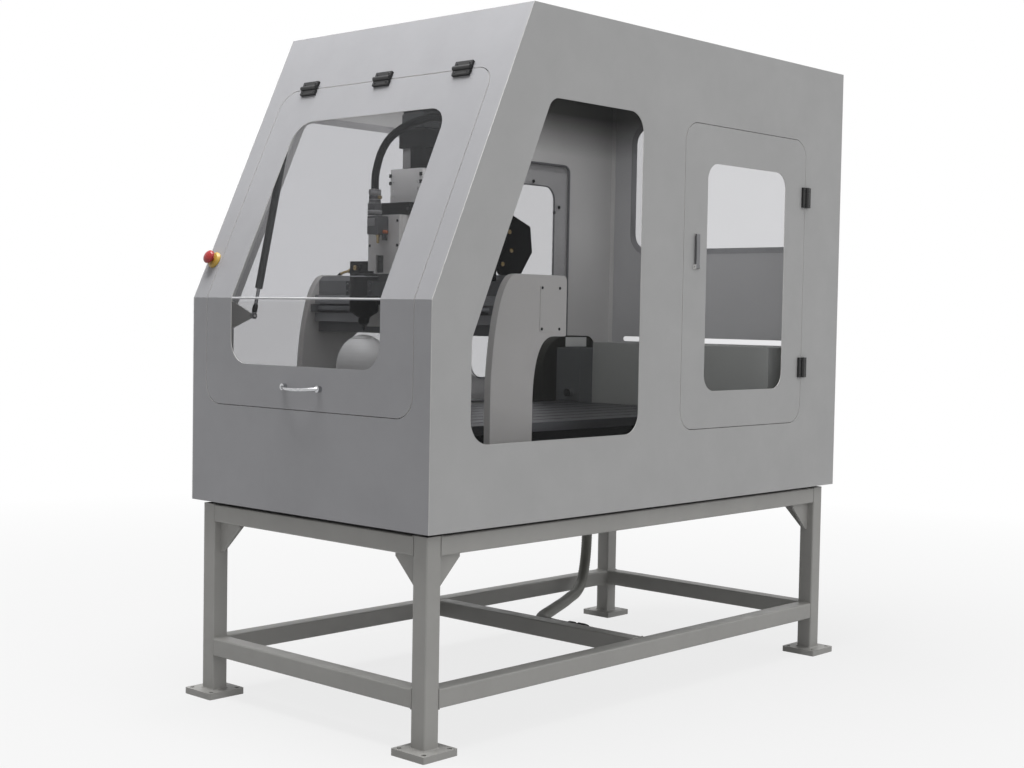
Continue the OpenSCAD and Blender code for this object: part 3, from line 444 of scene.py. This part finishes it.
def clear_pane(name, tint=(0.897, 0.897, 0.902), haze_and_reflection=0.006, flap=None):
    """Polycarbonate sheet: see-through, with a mirror film and a little milky dusting, which on the door's pane
    is thicker and is partly painted reflection.
    With flap, a tint, the sheet is that much smokier below its heat bend."""
    material = bpy.data.materials.new(name)
    n = Nodes(material)
    through = n.add("ShaderNodeBsdfTransparent")
    through.inputs["Color"].default_value = (*tint, 1)
    if flap is not None:
        height, _ = n.height_and_depth()
        above = n.between(height, BEND_Z - BEND_WIDTH, BEND_Z, 0.0, 1.0)
        n.link(n.mix_colour(above, (*flap, 1), (*tint, 1)), through.inputs["Color"])
    gloss = n.add("ShaderNodeBsdfPrincipled")
    gloss.inputs["Base Color"].default_value = (*PANE_GLOSS, 1)
    gloss.inputs["Metallic"].default_value = 1.0
    gloss.inputs["Roughness"].default_value = 0.04
    # a milky layer: dust, and on the door's pane also painted reflection
    dust_and_reflection_layer = n.add("ShaderNodeBsdfDiffuse")
    dust_and_reflection_layer.inputs["Color"].default_value = (*PANE_DUST_AND_REFLECTION, 1)
    facing = n.add("ShaderNodeLayerWeight")
    facing.inputs["Blend"].default_value = 0.5
    grazing = n.math("POWER", facing.outputs["Facing"], 5.0)
    mirror = n.math("MULTIPLY_ADD", grazing, MIRROR_GRAZING, MIRROR_STRAIGHT)
    shiny = n.mix_shader(mirror, through.outputs["BSDF"], gloss.outputs["BSDF"])
    dust_and_reflection = n.spread(n.noise(9.0, 5.0, 0.6), haze_and_reflection * 0.8, haze_and_reflection * 1.2)
    n.link(n.mix_shader(dust_and_reflection, shiny, dust_and_reflection_layer.outputs["BSDF"]), n.out.inputs["Surface"])
    return material


WALL_INSIDE = (214, 213, 211)
ALONG_Y = (60, 1, 60)  # stretches of the grain, which runs along the axis of 1
EVEN = (1, 1, 1)

# sheet metal of the cabinet and its stand
FRONT_PAINT = paint("front_paint", (161, 161, 164), 0.45, specular=0.3, outside=(0, -1, 0.24), inner=WALL_INSIDE)
RIGHT_PAINT = paint("right_paint", (169, 169, 169), 0.42, outside=RIGHT, inner=WALL_INSIDE)
# Painted light: the left wall's inside is lighter than the other walls' insides, for the light that falls on it
# through the windows.
LEFT_PAINT = paint("left_paint", (160, 160, 160), 0.42, outside=LEFT, inner=(240, 239, 238))
REAR_PAINT = paint("rear_paint", (160, 160, 160), 0.42, outside=(0, 1, 0), inner=(214, 214, 216))
# Painted shade: the roof's outer grey is darker than the walls' to tone down the overhead lamp on the top, and
# its inside is painted dark for the shade on the roof's underside.
ROOF_PAINT_AND_SHADE = paint("roof_paint_and_shade", (142, 142, 145), 0.55, specular=0.2, outside=UP, inner=(100, 96, 92))
STAND_PAINT = paint("stand_paint", (160, 159, 156), 0.45, 0.08, 0.07)
INNER_PAINT = paint("inner_paint", (36, 36, 38), 0.5, 0.05, 0.06, specular=0.1)
BRACKET_PAINT = paint("bracket_paint", (238, 237, 235), 0.4, 0.05, 0.05)
STRUT_PAINT = paint("strut_black", (54, 55, 56), 0.4, 0.1, 0.08)
BLACK_PAINT = paint("black_paint", (24, 24, 25), 0.4, 0.12, 0.1)

# the machine inside
MACHINE_PAINT = paint("machine_paint", (240, 238, 235), 0.45, 0.1, 0.05)
COVER_PAINT = paint("cover_paint", (250, 249, 248), 0.45, 0.06, 0.04)
BEAM_PAINT = paint("beam_paint", (128, 129, 131), 0.5, 0.1, 0.06, specular=0.3)
RAIL_PAINT = paint("rail_finish", (172, 173, 176), 0.4, 0.04, 0.05, specular=0.4)
MACHINE_BLACK = paint("machine_black", (17, 17, 18), 0.55, 0.1, 0.1, specular=0.06)
NOSE_BLACK = paint("nose_black", (11, 11, 12), 0.5, 0.1, 0.1, specular=0.06)
CASE_PAINT = paint("case_paint", (46, 47, 48), 0.5, 0.12, 0.08, specular=0.2)
SLIDE_PAINT = paint("slide_paint", (72, 73, 74), 0.5, 0.1, 0.08, specular=0.25)
HOUSING_PAINT = paint("housing_paint", (176, 178, 175), 0.5, 0.08, 0.06, specular=0.25)
DARK_PAINT = paint("dark_paint", (102, 104, 105), 0.5, 0.1, 0.08, specular=0.1)
HOOD_PAINT = paint("hood_paint", (34, 34, 29), 0.5, 0.08, 0.08, specular=0.08)
HOOD_BAND = paint("hood_band", (236, 238, 236), 0.45, 0.08, 0.08, specular=0.2)
RAIL_METAL = metal("rail_metal", (120, 121, 124), 0.42, scale=14.0, depth=0.08)
GREY_ANODISED = metal("grey_anodised", (70, 70, 73), 0.38, ALONG_Y, 10.0, 0.12)
TABLE_METAL = metal("table_metal", (108, 109, 112), 0.36, ALONG_Y, 9.0, 0.2)
STEEL = metal("steel", (186, 187, 189), 0.22, scale=14.0, depth=0.08)
STEEL_Y = metal("steel_y", (178, 179, 182), 0.25, ALONG_Y, 14.0, 0.08)
CAST_METAL = metal("cast_metal", (128, 128, 130), 0.4, EVEN, 90.0, 0.2)
BRASS = metal("brass", (168, 148, 108), 0.28, EVEN, 70.0, 0.05)
DARK_STEEL = metal("dark_steel", (70, 70, 72), 0.32, EVEN, 80.0, 0.05)

# plastics and rubber
BLACK_PLASTIC = plastic("black_plastic", (22, 22, 23), 0.42)
SHROUD_PLASTIC = plastic("shroud_plastic", (84, 84, 86), 0.55, 0.1)
GREY_PLASTIC = plastic("grey_plastic", (150, 150, 150), 0.5, 0.08)
# Painted highlight: a pale opaque strip along the door pane's bend stands in for the light caught there.
BEND_HIGHLIGHT = plastic("bend_highlight", (196, 196, 198), 0.4, 0.02)
RED_PLASTIC = plastic("red_plastic", (158, 34, 34), 0.32, 0.04)
YELLOW_PLASTIC = plastic("yellow_plastic", (184, 150, 62), 0.4, 0.06)
ORANGE_PLASTIC = plastic("orange_plastic", (196, 98, 40), 0.4, 0.06)
CONDUIT_GREY = plastic("conduit_grey", (112, 112, 106), 0.55, 0.2, 700.0)
WORK_WHITE = plastic("work_white", (246, 246, 244), 0.5, 0.1, 300.0)
RUBBER = plastic("rubber", (20, 20, 20), 0.75, 0.25)
SEAL_RUBBER = plastic("seal_rubber", (128, 128, 131), 0.7, 0.1)
PANE = clear_pane("pane")
RIGHT_PANE = clear_pane("right_pane", (0.805, 0.805, 0.81))
# The door's pane has a thicker milky layer than the others: partly painted reflection, a lightness standing in
# for the room mirrored on the sheet.
DOOR_PANE = clear_pane("door_pane", (0.80, 0.80, 0.81), 0.018, flap=(0.72, 0.72, 0.725))

FINISHES = {
    "legs": STAND_PAINT, "top_frame": STAND_PAINT, "lower_rails": STAND_PAINT,
    "cross_rail": STAND_PAINT, "mount_pads": RUBBER, "floor_pan": INNER_PAINT,
    "side_panel_left": LEFT_PAINT, "side_panel_right": RIGHT_PAINT, "side_door": RIGHT_PAINT,
    "front_panel": FRONT_PAINT, "front_door": FRONT_PAINT, "roof_panel": ROOF_PAINT_AND_SHADE, "rear_panel": REAR_PAINT,
    "windows_left": PANE, "window_right": RIGHT_PANE, "window_rear": PANE, "front_door_window": DOOR_PANE,
    "side_door_window": PANE,
    "front_door_handle": STEEL, "front_hinge_bases": BLACK_PAINT, "front_hinge_leaves": BLACK_PAINT,
    "side_hinge_bases": BLACK_PAINT, "side_hinge_leaves": BLACK_PAINT,
    "strut_cabinet_brackets": BRACKET_PAINT, "strut_door_brackets": CAST_METAL,
    "strut_rods": STEEL, "strut_cylinders": STRUT_PAINT, "side_door_latch": CAST_METAL,
    "estop_collar": YELLOW_PLASTIC, "estop_button": RED_PLASTIC,
    "floor_conduit": CONDUIT_GREY, "conduit_fittings": BLACK_PLASTIC, "conduit_connector": BLACK_PLASTIC,
    "bed_frame": MACHINE_BLACK, "table": TABLE_METAL, "y_rails": STEEL_Y,
    "rear_housing": HOUSING_PAINT, "drive_box": DARK_PAINT, "cable_hood": HOOD_PAINT, "work_piece": WORK_WHITE,
    "gantry_side_left": MACHINE_PAINT, "gantry_side_right": MACHINE_PAINT, "access_plate": MACHINE_PAINT,
    "y_blocks": GREY_ANODISED, "x_beam": BEAM_PAINT, "x_rails": RAIL_PAINT, "x_screw": RAIL_METAL,
    "x_drive_plate": MACHINE_BLACK, "x_motor": MACHINE_BLACK, "cable_block": MACHINE_BLACK,
    "carriage": CAST_METAL, "z_housing": MACHINE_PAINT, "z_motor_mount": MACHINE_BLACK,
    "z_motor_cover": COVER_PAINT, "z_motor": MACHINE_BLACK,
    "spindle_slide": SLIDE_PAINT, "spindle_body": NOSE_BLACK, "collet_nut": NOSE_BLACK,
    "tool": DARK_STEEL, "spindle_conduit": NOSE_BLACK,
}


def finish_nodes():
    for name, obj in NODES.items():
        obj.data.materials.clear()
        obj.data.materials.append(FINISHES[name])


finish_nodes()

# ---------------------------------------------------------------- the conduit on the floor

# its middle line in millimetres, as in the part's source
HOSE_ROUTE = [
    (-384, 1650, 560), (-384, 1650, 473.3), (-384, 1650, 386.7), (-384, 1650, 300), (-374, 1630, 220),
    (-347, 1580, 160), (-309, 1508, 138), (-264, 1422, 136), (-218, 1336, 136), (-173, 1250, 138),
    (-128, 1164, 140), (-82, 1076, 142), (-46, 1030, 143), (3, 1000, 144), (60, 990, 144), (140, 990, 144),
]
HOSE_RADIUS = 0.019
RIB_STEP, RIB_DEPTH = 0.0048, 0.0009


def make_hose():
    """A conduit with shallow ribs round it, along its route on the rails."""
    path = smooth_path([at(*p) for p in HOSE_ROUTE], RIB_STEP)
    bm = bmesh.new()
    tube(bm, path, [HOSE_RADIUS - (RIB_DEPTH if i % 2 else 0.0) for i in range(len(path))], 24)
    hose = to_object("hose", bm)
    hose.data.materials.append(CONDUIT_GREY)
    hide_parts("floor_conduit")
    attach(hose, "base")


make_hose()

# ---------------------------------------------------------------- small fittings
# Places are in the millimetres of at() and on_slope(). Radii, heights and profiles are in metres.


class Fittings:
    """Small pieces of one finish on one body, gathered into one mesh while the block runs."""

    def __init__(self, name, material, body, slot, smooth=True):
        self.name, self.material, self.body, self.slot, self.smooth = name, material, body, slot, smooth
        self.bm = bmesh.new()

    def __enter__(self):
        return self.bm

    def __exit__(self, *_):
        obj = to_object(self.name, self.bm, self.smooth)
        obj.data.materials.append(self.material)
        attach(obj, self.body)


FRONT_HINGES_UP, FRONT_HINGES_X = 669, (-312, 0, 312)
SIDE_HINGES_Y, SIDE_HINGES_Z = 1664, (959, 1504)
HINGE_SCREWS = (-23, 23)  # along the pin, from the hinge's middle
HINGE_SCREW_HEAD = (0.0034, 0.0018)


def make_hinge_screws():
    """Two screws through each half of every hinge."""
    for half, from_pin in (("base", 13.5), ("door", -13.5)):
        body = "front_door" if half == "door" else "base"
        with Fittings("front_hinge_screws_" + half, DARK_STEEL, body, "bright_steel") as bm:
            for x in FRONT_HINGES_X:
                for along in HINGE_SCREWS:
                    place = on_slope(x + along, FRONT_HINGES_UP + from_pin, 8)
                    screw_head(bm, place, SLOPE_OUT, *HINGE_SCREW_HEAD)
        body = "side_door" if half == "door" else "base"
        with Fittings("side_hinge_screws_" + half, DARK_STEEL, body, "bright_steel") as bm:
            for z in SIDE_HINGES_Z:
                for along in HINGE_SCREWS:
                    screw_head(bm, at(498, SIDE_HINGES_Y + from_pin, z + along), RIGHT, *HINGE_SCREW_HEAD)


def make_bend_highlight():
    """The rounded outside of the heat bend across the front pane, a pale opaque strip: its shape is the real
    bend, and its pale colour is a painted highlight.
    """
    start, width, steps = -313, 615, 24
    with Fittings("pane_bend_highlight", BEND_HIGHLIGHT, "front_door", "pane") as bm:
        tube(bm, [at(start + width * i / steps, 4.0, 1145.6) for i in range(steps + 1)], 0.0030, 12)


def make_strut_collars():
    """A dark end fitting over the lower end of each strut's rod."""
    foot, head = at(0, 133, 1096), at(0, 240, 1590)
    along = (head - foot).normalized()
    with Fittings("strut_end_fittings", BLACK_PLASTIC, "strut_rod", "strut_paint") as bm:
        for x in (-0.384, 0.384):
            turned(bm, foot + Vector((x, 0, 0)) + along * 0.0105, along, [
                (0.0068, 0), (0.0076, 0.002), (0.0076, 0.019), (0.0066, 0.022), (0.0056, 0.0235),
            ], 20)


PANE_FACE_X = box("windows_left")[1].x


def make_wall_screws():
    """Screws that hold the left rear pane and the roof's flange, seen from inside."""
    with Fittings("pane_screws", DARK_STEEL, "base", "bright_steel") as bm:
        for y, z in ((1437, 1585), (1550, 1482), (1576, 1501)):
            screw_head(bm, at(PANE_FACE_X, y, z), RIGHT, 0.0065, 0.003)
        for y in (440, 700, 960, 1220):
            screw_head(bm, at(-488, y, 1842), RIGHT, 0.0055, 0.0028)


def rounded_outline(low, high, radius, steps=8):
    """Flat points round a rectangle with rounded corners."""
    (x0, y0), (x1, y1) = low, high
    out = []
    for cx, cy, start in ((x1 - radius, y1 - radius, 0), (x0 + radius, y1 - radius, 90),
                          (x0 + radius, y0 + radius, 180), (x1 - radius, y0 + radius, 270)):
        for k in range(steps + 1):
            angle = math.radians(start + 90 * k / steps)
            out.append((cx + radius * math.cos(angle), cy + radius * math.sin(angle)))
    return out


def make_seals():
    """Sealing cord round the edge of the left rear pane and of its opening."""
    pane_edge = ((1055, 816), (1628, 1651), 26, 0.0042)
    opening = ((1134, 895), (1549, 1572), 49, 0.0024)
    with Fittings("pane_seals", SEAL_RUBBER, "base", "rubber") as bm:
        for low, high, corner, radius in (pane_edge, opening):
            line = [at(PANE_FACE_X + 0.6, y, z) for y, z in rounded_outline(low, high, corner)]
            tube(bm, line + line[:1], radius, 8, shut=False)


def make_gantry_screws():
    """The drive plate's brass screws and the dark ones at the access plate's corners."""
    plate_face = box("x_drive_plate")[1].x
    with Fittings("drive_screws", BRASS, "gantry", "bright_steel") as bm:
        for y, z in ((405, 1334), (414, 1285), (380, 1247)):
            screw_head(bm, at(plate_face, y, z), RIGHT, 0.0064, 0.0035)
    low, high = box("access_plate")
    inset = 7
    with Fittings("access_screws", DARK_STEEL, "gantry", "bright_steel") as bm:
        for y in (low.y + inset, high.y - inset):
            for z in (low.z + inset, high.z - inset):
                screw_head(bm, at(high.x, y, z), RIGHT, 0.0042, 0.0022)


def make_motor_lead():
    """The X motor's lead out of the cable block, and the black sleeve that it goes down in."""
    block, _ = box("cable_block")
    with Fittings("cable_nipples", BRASS, "gantry", "bright_steel") as bm:
        hexagon(bm, at(-284, block.y, 1244), FORWARD, 0.0085, 0.009)
        hexagon(bm, at(block.x, 478, 1236), LEFT, 0.0075, 0.009)
        lead = [at(-362, 478, 1236), at(-376, 478, 1234.5), at(-390, 477, 1231.5), at(-403, 476, 1227)]
        tube(bm, smooth_path(lead, 0.004), 0.0042, 12)
    with Fittings("cable_sleeve", BLACK_PLASTIC, "gantry", "conduit_black") as bm:
        sleeve = [
            at(-400, 476.2, 1228.2), at(-408, 475, 1222), at(-411, 474, 1206), at(-409, 473, 1184),
            at(-407, 472, 1150),
        ]
        tube(bm, smooth_path(sleeve, 0.004), 0.0052, 12)
        slab(bm, at(-413.6, 462, 1142), at(-400, 482, 1158), 0.0018)


def make_cover_clips():
    """Clips at the coupling cover's edges, the dark inset of the housing's slot, and the plug's bracket."""
    low, high = box("z_motor_cover")
    with Fittings("cover_clips", BLACK_PLASTIC, "carriage", "black_paint") as bm:
        for x, z in ((low.x, 1501), (low.x, 1480), (high.x - 8, 1502), (high.x - 8, 1481)):
            slab(bm, at(x, low.y - 3.6, z - 5), at(x + 8, low.y + 2, z + 5), 0.001)
        slab(bm, at(-51.6, 309.6, 1224.4), at(-20.4, 311.9, 1272.6), 0.0003)
        slab(bm, at(-2, 278, 1313), at(10, 289.4, 1330.5), 0.0015)


STACK_X, STACK_Y = -30, 277  # the axis of the connector stack on the Z housing


def make_connectors():
    """The shroud and couplings that the spindle's conduit ends in, with nipples and a signal plug."""
    with Fittings("axis_nipples", BRASS, "carriage", "bright_steel") as bm:
        hexagon(bm, at(-23, 284, 1331), DOWN, 0.0062, 0.009)
        turned(bm, at(-23, 284, 1323), DOWN, [(0.0042, 0), (0.0042, 0.016), (0.0034, 0.018)], 16)
        hexagon(bm, at(-15, STACK_Y, 1432), RIGHT, 0.0058, 0.010)
    with Fittings("signal_plug", ORANGE_PLASTIC, "carriage", "red_plastic") as bm:
        turned(bm, at(-2, 285, 1336), RIGHT, [
            (0.0048, 0), (0.0055, 0.001), (0.0055, 0.009), (0.0042, 0.011), (0.0042, 0.015), (0.0034, 0.016),
        ], 20)
    with Fittings("connector_shroud", SHROUD_PLASTIC, "carriage", "dark_paint") as bm:
        slab(bm, at(-43.7, 261.2, 1329.3), at(-0.3, 302.7, 1380.7), 0.0018)
        turned(bm, at(STACK_X, STACK_Y, 1381), UP, [
            (0.0185, 0), (0.0197, 0.002), (0.0197, 0.034), (0.0168, 0.037),
        ], 8)
        turned(bm, at(STACK_X, STACK_Y, 1416), UP, [
            (0.0166, 0), (0.0166, 0.009), (0.0158, 0.0105), (0.0166, 0.012), (0.0166, 0.021), (0.0158, 0.0225),
            (0.0166, 0.024), (0.0166, 0.0375), (0.0150, 0.0392),
        ], 28)


def make_light_fittings():
    """The stack's light bands and bare plate, and the light flange round the left of the motor."""
    with Fittings("light_fittings", GREY_PLASTIC, "carriage", "carriage_aluminium") as bm:
        turned(bm, at(STACK_X, STACK_Y, 1441), UP, [
            (0.0168, 0), (0.0176, 0.001), (0.0176, 0.009), (0.0168, 0.010),
        ], 28)
        turned(bm, at(STACK_X, STACK_Y, 1386), UP, [
            (0.0192, 0), (0.0204, 0.0015), (0.0204, 0.010), (0.0192, 0.0115),
        ], 8)
        slab(bm, at(-40, 260.4, 1352), at(-12, 262, 1374), 0.0006)
        flange = [
            at(8, 375.6, 0), at(-18, 375.6, 0), at(-25, 378, 0), at(-29.4, 386, 0),
            at(-29.4, 454, 0), at(-25, 462, 0), at(-18, 464.4, 0), at(8, 464.4, 0),
        ]
        sheet_wall(bm, flange, 1.5205, 1.5755, 0.0012)


def make_limit_switch():
    """The X axis's limit switch, a small box by the right gantry side."""
    with Fittings("limit_switch", MACHINE_BLACK, "gantry", "dark_paint") as bm:
        slab(bm, at(338, 336, 1200), at(366, 357, 1242), 0.0015)
        screw_head(bm, at(352, 336.3, 1232), FORWARD, 0.003, 0.0015)


def make_encoder_case():
    """The brake and encoder case on top of the Z motor, with its plug."""
    x, y, _ = middle("z_motor")
    top = box("z_motor")[1].z
    tiers = ((39, 40, -2, 7, 0.001), (45, 46, 6, 48, 0.006), (41, 42, 46, 54, 0.001), (45, 46, 52, 86, 0.006))
    with Fittings("encoder_case", CASE_PAINT, "carriage", "dark_paint") as bm:
        for half_x, half_y, low, high, bevel in tiers:
            slab(bm, at(x - half_x, y - half_y, top + low), at(x + half_x, y + half_y, top + high), bevel)
        slab(bm, at(x - 20, y + 44, top + 14), at(x + 20, y + 62, top + 40), 0.003)
        turned(bm, at(x, y + 56, top + 39), UP, [
            (0.0096, 0), (0.0104, 0.001), (0.0104, 0.012), (0.0092, 0.0135), (0.0092, 0.022), (0.008, 0.0235),
        ], 6)
        for aside in (-36, 36):
            for along in (-37, 37):
                screw_head(bm, at(x + aside, y + along, top + 85.6), UP, 0.0042, 0.003)


def make_axis_screws():
    """Screws on the Z housing, the motor mount and the spindle's clamp."""
    with Fittings("axis_screws", DARK_STEEL, "carriage", "bright_steel") as bm:
        low, high = box("z_housing")
        for z in (1096, 1150, 1208, 1300, 1368):
            for x in (low.x + 7, high.x - 7):
                screw_head(bm, at(x, 303, z), FORWARD, 0.0042, 0.003)
        mount_face = box("z_motor_mount")[0].y
        for x in (-64, 46):
            screw_head(bm, at(x, mount_face, middle("z_motor_mount").z), FORWARD, 0.005, 0.003)
    with Fittings("clamp_screws", DARK_STEEL, "spindle", "bright_steel") as bm:
        low, high = box("spindle_slide")
        for x in (low.x + 8, high.x - 8):
            for z in (1168, 1188):
                screw_head(bm, at(x, low.y, z), FORWARD, 0.0042, 0.004)


def make_spindle_ring():
    """A bright ring round the spindle's body."""
    x, y, _ = middle("spindle_body")
    with Fittings("spindle_rings", STEEL, "spindle", "bright_steel") as bm:
        turned(bm, at(x, y, 1209), UP, [(0.0396, 0), (0.0404, 0.0006), (0.0404, 0.0024), (0.0396, 0.003)], 48)


def make_stop_and_band():
    """The rubber stop on the drive box and the light band on the cable hood."""
    with Fittings("travel_stop", RUBBER, "base", "rubber") as bm:
        turned(bm, at(-325, 1458.5, 845), FORWARD, [
            (0.0128, 0), (0.0134, 0.0008), (0.0134, 0.0062), (0.012, 0.0072), (0.006, 0.0074),
        ], 28)
    hood_face = box("cable_hood")[1].x
    with Fittings("hood_band", HOOD_BAND, "base", "dark_paint", smooth=False) as bm:
        slab(bm, at(hood_face + 0.2, 1548, 1002), at(hood_face + 1.4, 1662, 1036), 0.0004)


WORK_X, WORK_Y = -17, 230  # the work piece's axis
WORK_BOLT_CIRCLE = 81


def make_work_bolts():
    """The two bolts in the work piece's flange."""
    out = WORK_BOLT_CIRCLE * math.sqrt(0.5)
    with Fittings("work_bolts", DARK_STEEL, "base", "bright_steel") as bm:
        for x in (WORK_X - out, WORK_X + out):
            hexagon(bm, at(x, WORK_Y - out, 826), UP, 0.0062, 0.005)


def bead(bm, corners, size=0.0022):
    """A rippled weld bead round a closed outline."""
    path = []
    for a, b in zip(corners, corners[1:] + corners[:1]):
        count = max(2, round((b - a).length / 0.0042))
        path += [a + (b - a) * (k / count) for k in range(count)]
    path.append(path[0])
    tube(bm, path, [size * (1.0 if i % 2 else 0.8) for i in range(len(path))], 6, shut=False)


def make_welds():
    """Weld beads where the stand's tubes meet, and round the legs on their foot plates."""
    half = 25.4
    low, high = box("top_frame")
    leg_x, leg_fronts = high.x - half, ((low.y + half, 1), (high.y - half, -1))
    rail_z, top_z = middle("lower_rails").z, high.z - half
    foot_top = 18
    aside, along, upward = (Vector(axis) * half / 1000 for axis in ((1, 0, 0), (0, 1, 0), (0, 0, 1)))

    def tube_end(centre, first, second):
        return [centre + first * a + second * b for a, b in SQUARE]

    with Fittings("welds", STAND_PAINT, "base", "stand_paint") as bm:
        for side in (-1, 1):
            inner_face = side * (leg_x - half)
            for y, inward in leg_fronts:
                for z in (rail_z, top_z):
                    bead(bm, tube_end(at(inner_face, y, z), along, upward))
                    bead(bm, tube_end(at(side * leg_x, y + inward * half, z), aside, upward))
                bead(bm, tube_end(at(side * leg_x, y, foot_top), aside, along), 0.003)
            bead(bm, tube_end(at(inner_face, middle("cross_rail").y, rail_z), along, upward))


make_hinge_screws()
make_bend_highlight()
make_strut_collars()
make_wall_screws()
make_seals()
make_gantry_screws()
make_motor_lead()
make_cover_clips()
make_connectors()
make_light_fittings()
make_limit_switch()
make_encoder_case()
make_axis_screws()
make_spindle_ring()
make_stop_and_band()
make_work_bolts()
make_welds()

# ---------------------------------------------------------------- floor and light

WHITE = (1, 1, 1, 1)
FLOOR_GREY = (0.42, 0.42, 0.42, 1)
FLOOR_REACH = 14.0
FLOOR_FADE = (1.2, 5.0)  # distances from the middle over which the floor turns to plain white
FLOOR_WHITE = (0.8, 1.0)  # share of plain white at the first and at the second
ROOM_LEVEL = 0.48
ROOM_LEAN = (0.54, 0.28, 0.0)  # the room is brighter to the right and behind than in front


def make_floor():
    """A pale floor that keeps the object's shadow, and turns to plain white further off."""
    mesh = bpy.data.meshes.new("floor")
    mesh.from_pydata([(FLOOR_REACH * a, FLOOR_REACH * b, 0) for a, b in SQUARE], [], [(0, 1, 2, 3)])
    floor = bpy.data.objects.new("floor", mesh)
    bpy.context.scene.collection.objects.link(floor)
    material = bpy.data.materials.new("floor")
    n = Nodes(material)
    lit = n.add("ShaderNodeBsdfDiffuse")
    lit.inputs["Color"].default_value = FLOOR_GREY
    glow = n.add("ShaderNodeEmission")
    glow.inputs["Color"].default_value = WHITE
    glow.inputs["Strength"].default_value = 1.0
    away = n.add("ShaderNodeVectorMath", operation="LENGTH")
    n.link(n.place, away.inputs[0])
    share = n.math("MULTIPLY", n.seen(), n.between(away.outputs["Value"], *FLOOR_FADE, *FLOOR_WHITE))
    n.link(n.mix_shader(share, lit.outputs["BSDF"], glow.outputs["Emission"]), n.out.inputs["Surface"])
    mesh.materials.append(material)


def make_world():
    """Plain soft light from all round, with plain white where the camera looks."""
    world = bpy.data.worlds.new("studio")
    bpy.context.scene.world = world
    n = Nodes(world, "ShaderNodeOutputWorld")
    lean = n.add("ShaderNodeVectorMath", operation="DOT_PRODUCT")
    n.link(n.coordinates.outputs["Generated"], lean.inputs[0])
    lean.inputs[1].default_value = ROOM_LEAN
    light = n.add("ShaderNodeBackground")
    light.inputs["Color"].default_value = WHITE
    level = n.math("MAXIMUM", n.math("ADD", lean.outputs["Value"], ROOM_LEVEL), 0.0)
    n.link(level, light.inputs["Strength"])
    white = n.add("ShaderNodeBackground")
    white.inputs["Color"].default_value = WHITE
    white.inputs["Strength"].default_value = 1.0
    shown = n.mix_shader(n.seen(), light.outputs["Background"], white.outputs["Background"])
    n.link(shown, n.out.inputs["Surface"])


def lamp(name, place, target, size, power, seen=True):
    """A rectangular lamp at a place, turned to a target. Unseen, it shows in no mirror either."""
    data = bpy.data.lights.new(name, "AREA")
    data.shape = "RECTANGLE"
    data.size, data.size_y = size
    data.energy = power
    obj = bpy.data.objects.new(name, data)
    bpy.context.scene.collection.objects.link(obj)
    obj.location = place
    obj.visible_camera = obj.visible_glossy = seen
    obj.rotation_euler = (Vector(target) - Vector(place)).to_track_quat("-Z", "Y").to_euler()


def make_lamps():
    """A soft lamp overhead, and small ones inside the cabinet for the light that clear sheets let in."""
    lamp("overhead", (-0.2, -0.85, 5.6), (0, -0.1, 1.2), (3.0, 3.0), 362)
    lamp("cabinet_light", at(0, 1000, 1905), at(0, 1000, 1000), (0.75, 1.1), 3.0, seen=False)
    lamp("front_light", on_slope(0, 630, -50), on_slope(0, 300, -450), (0.6, 0.10), 0.7, seen=False)
    lamp("side_light", at(440, 760, 1800), at(0, 760, 1150), (0.8, 0.06), 1.3, seen=False)


make_floor()
make_world()
make_lamps()

bpy.context.scene.view_settings.view_transform = "Standard"
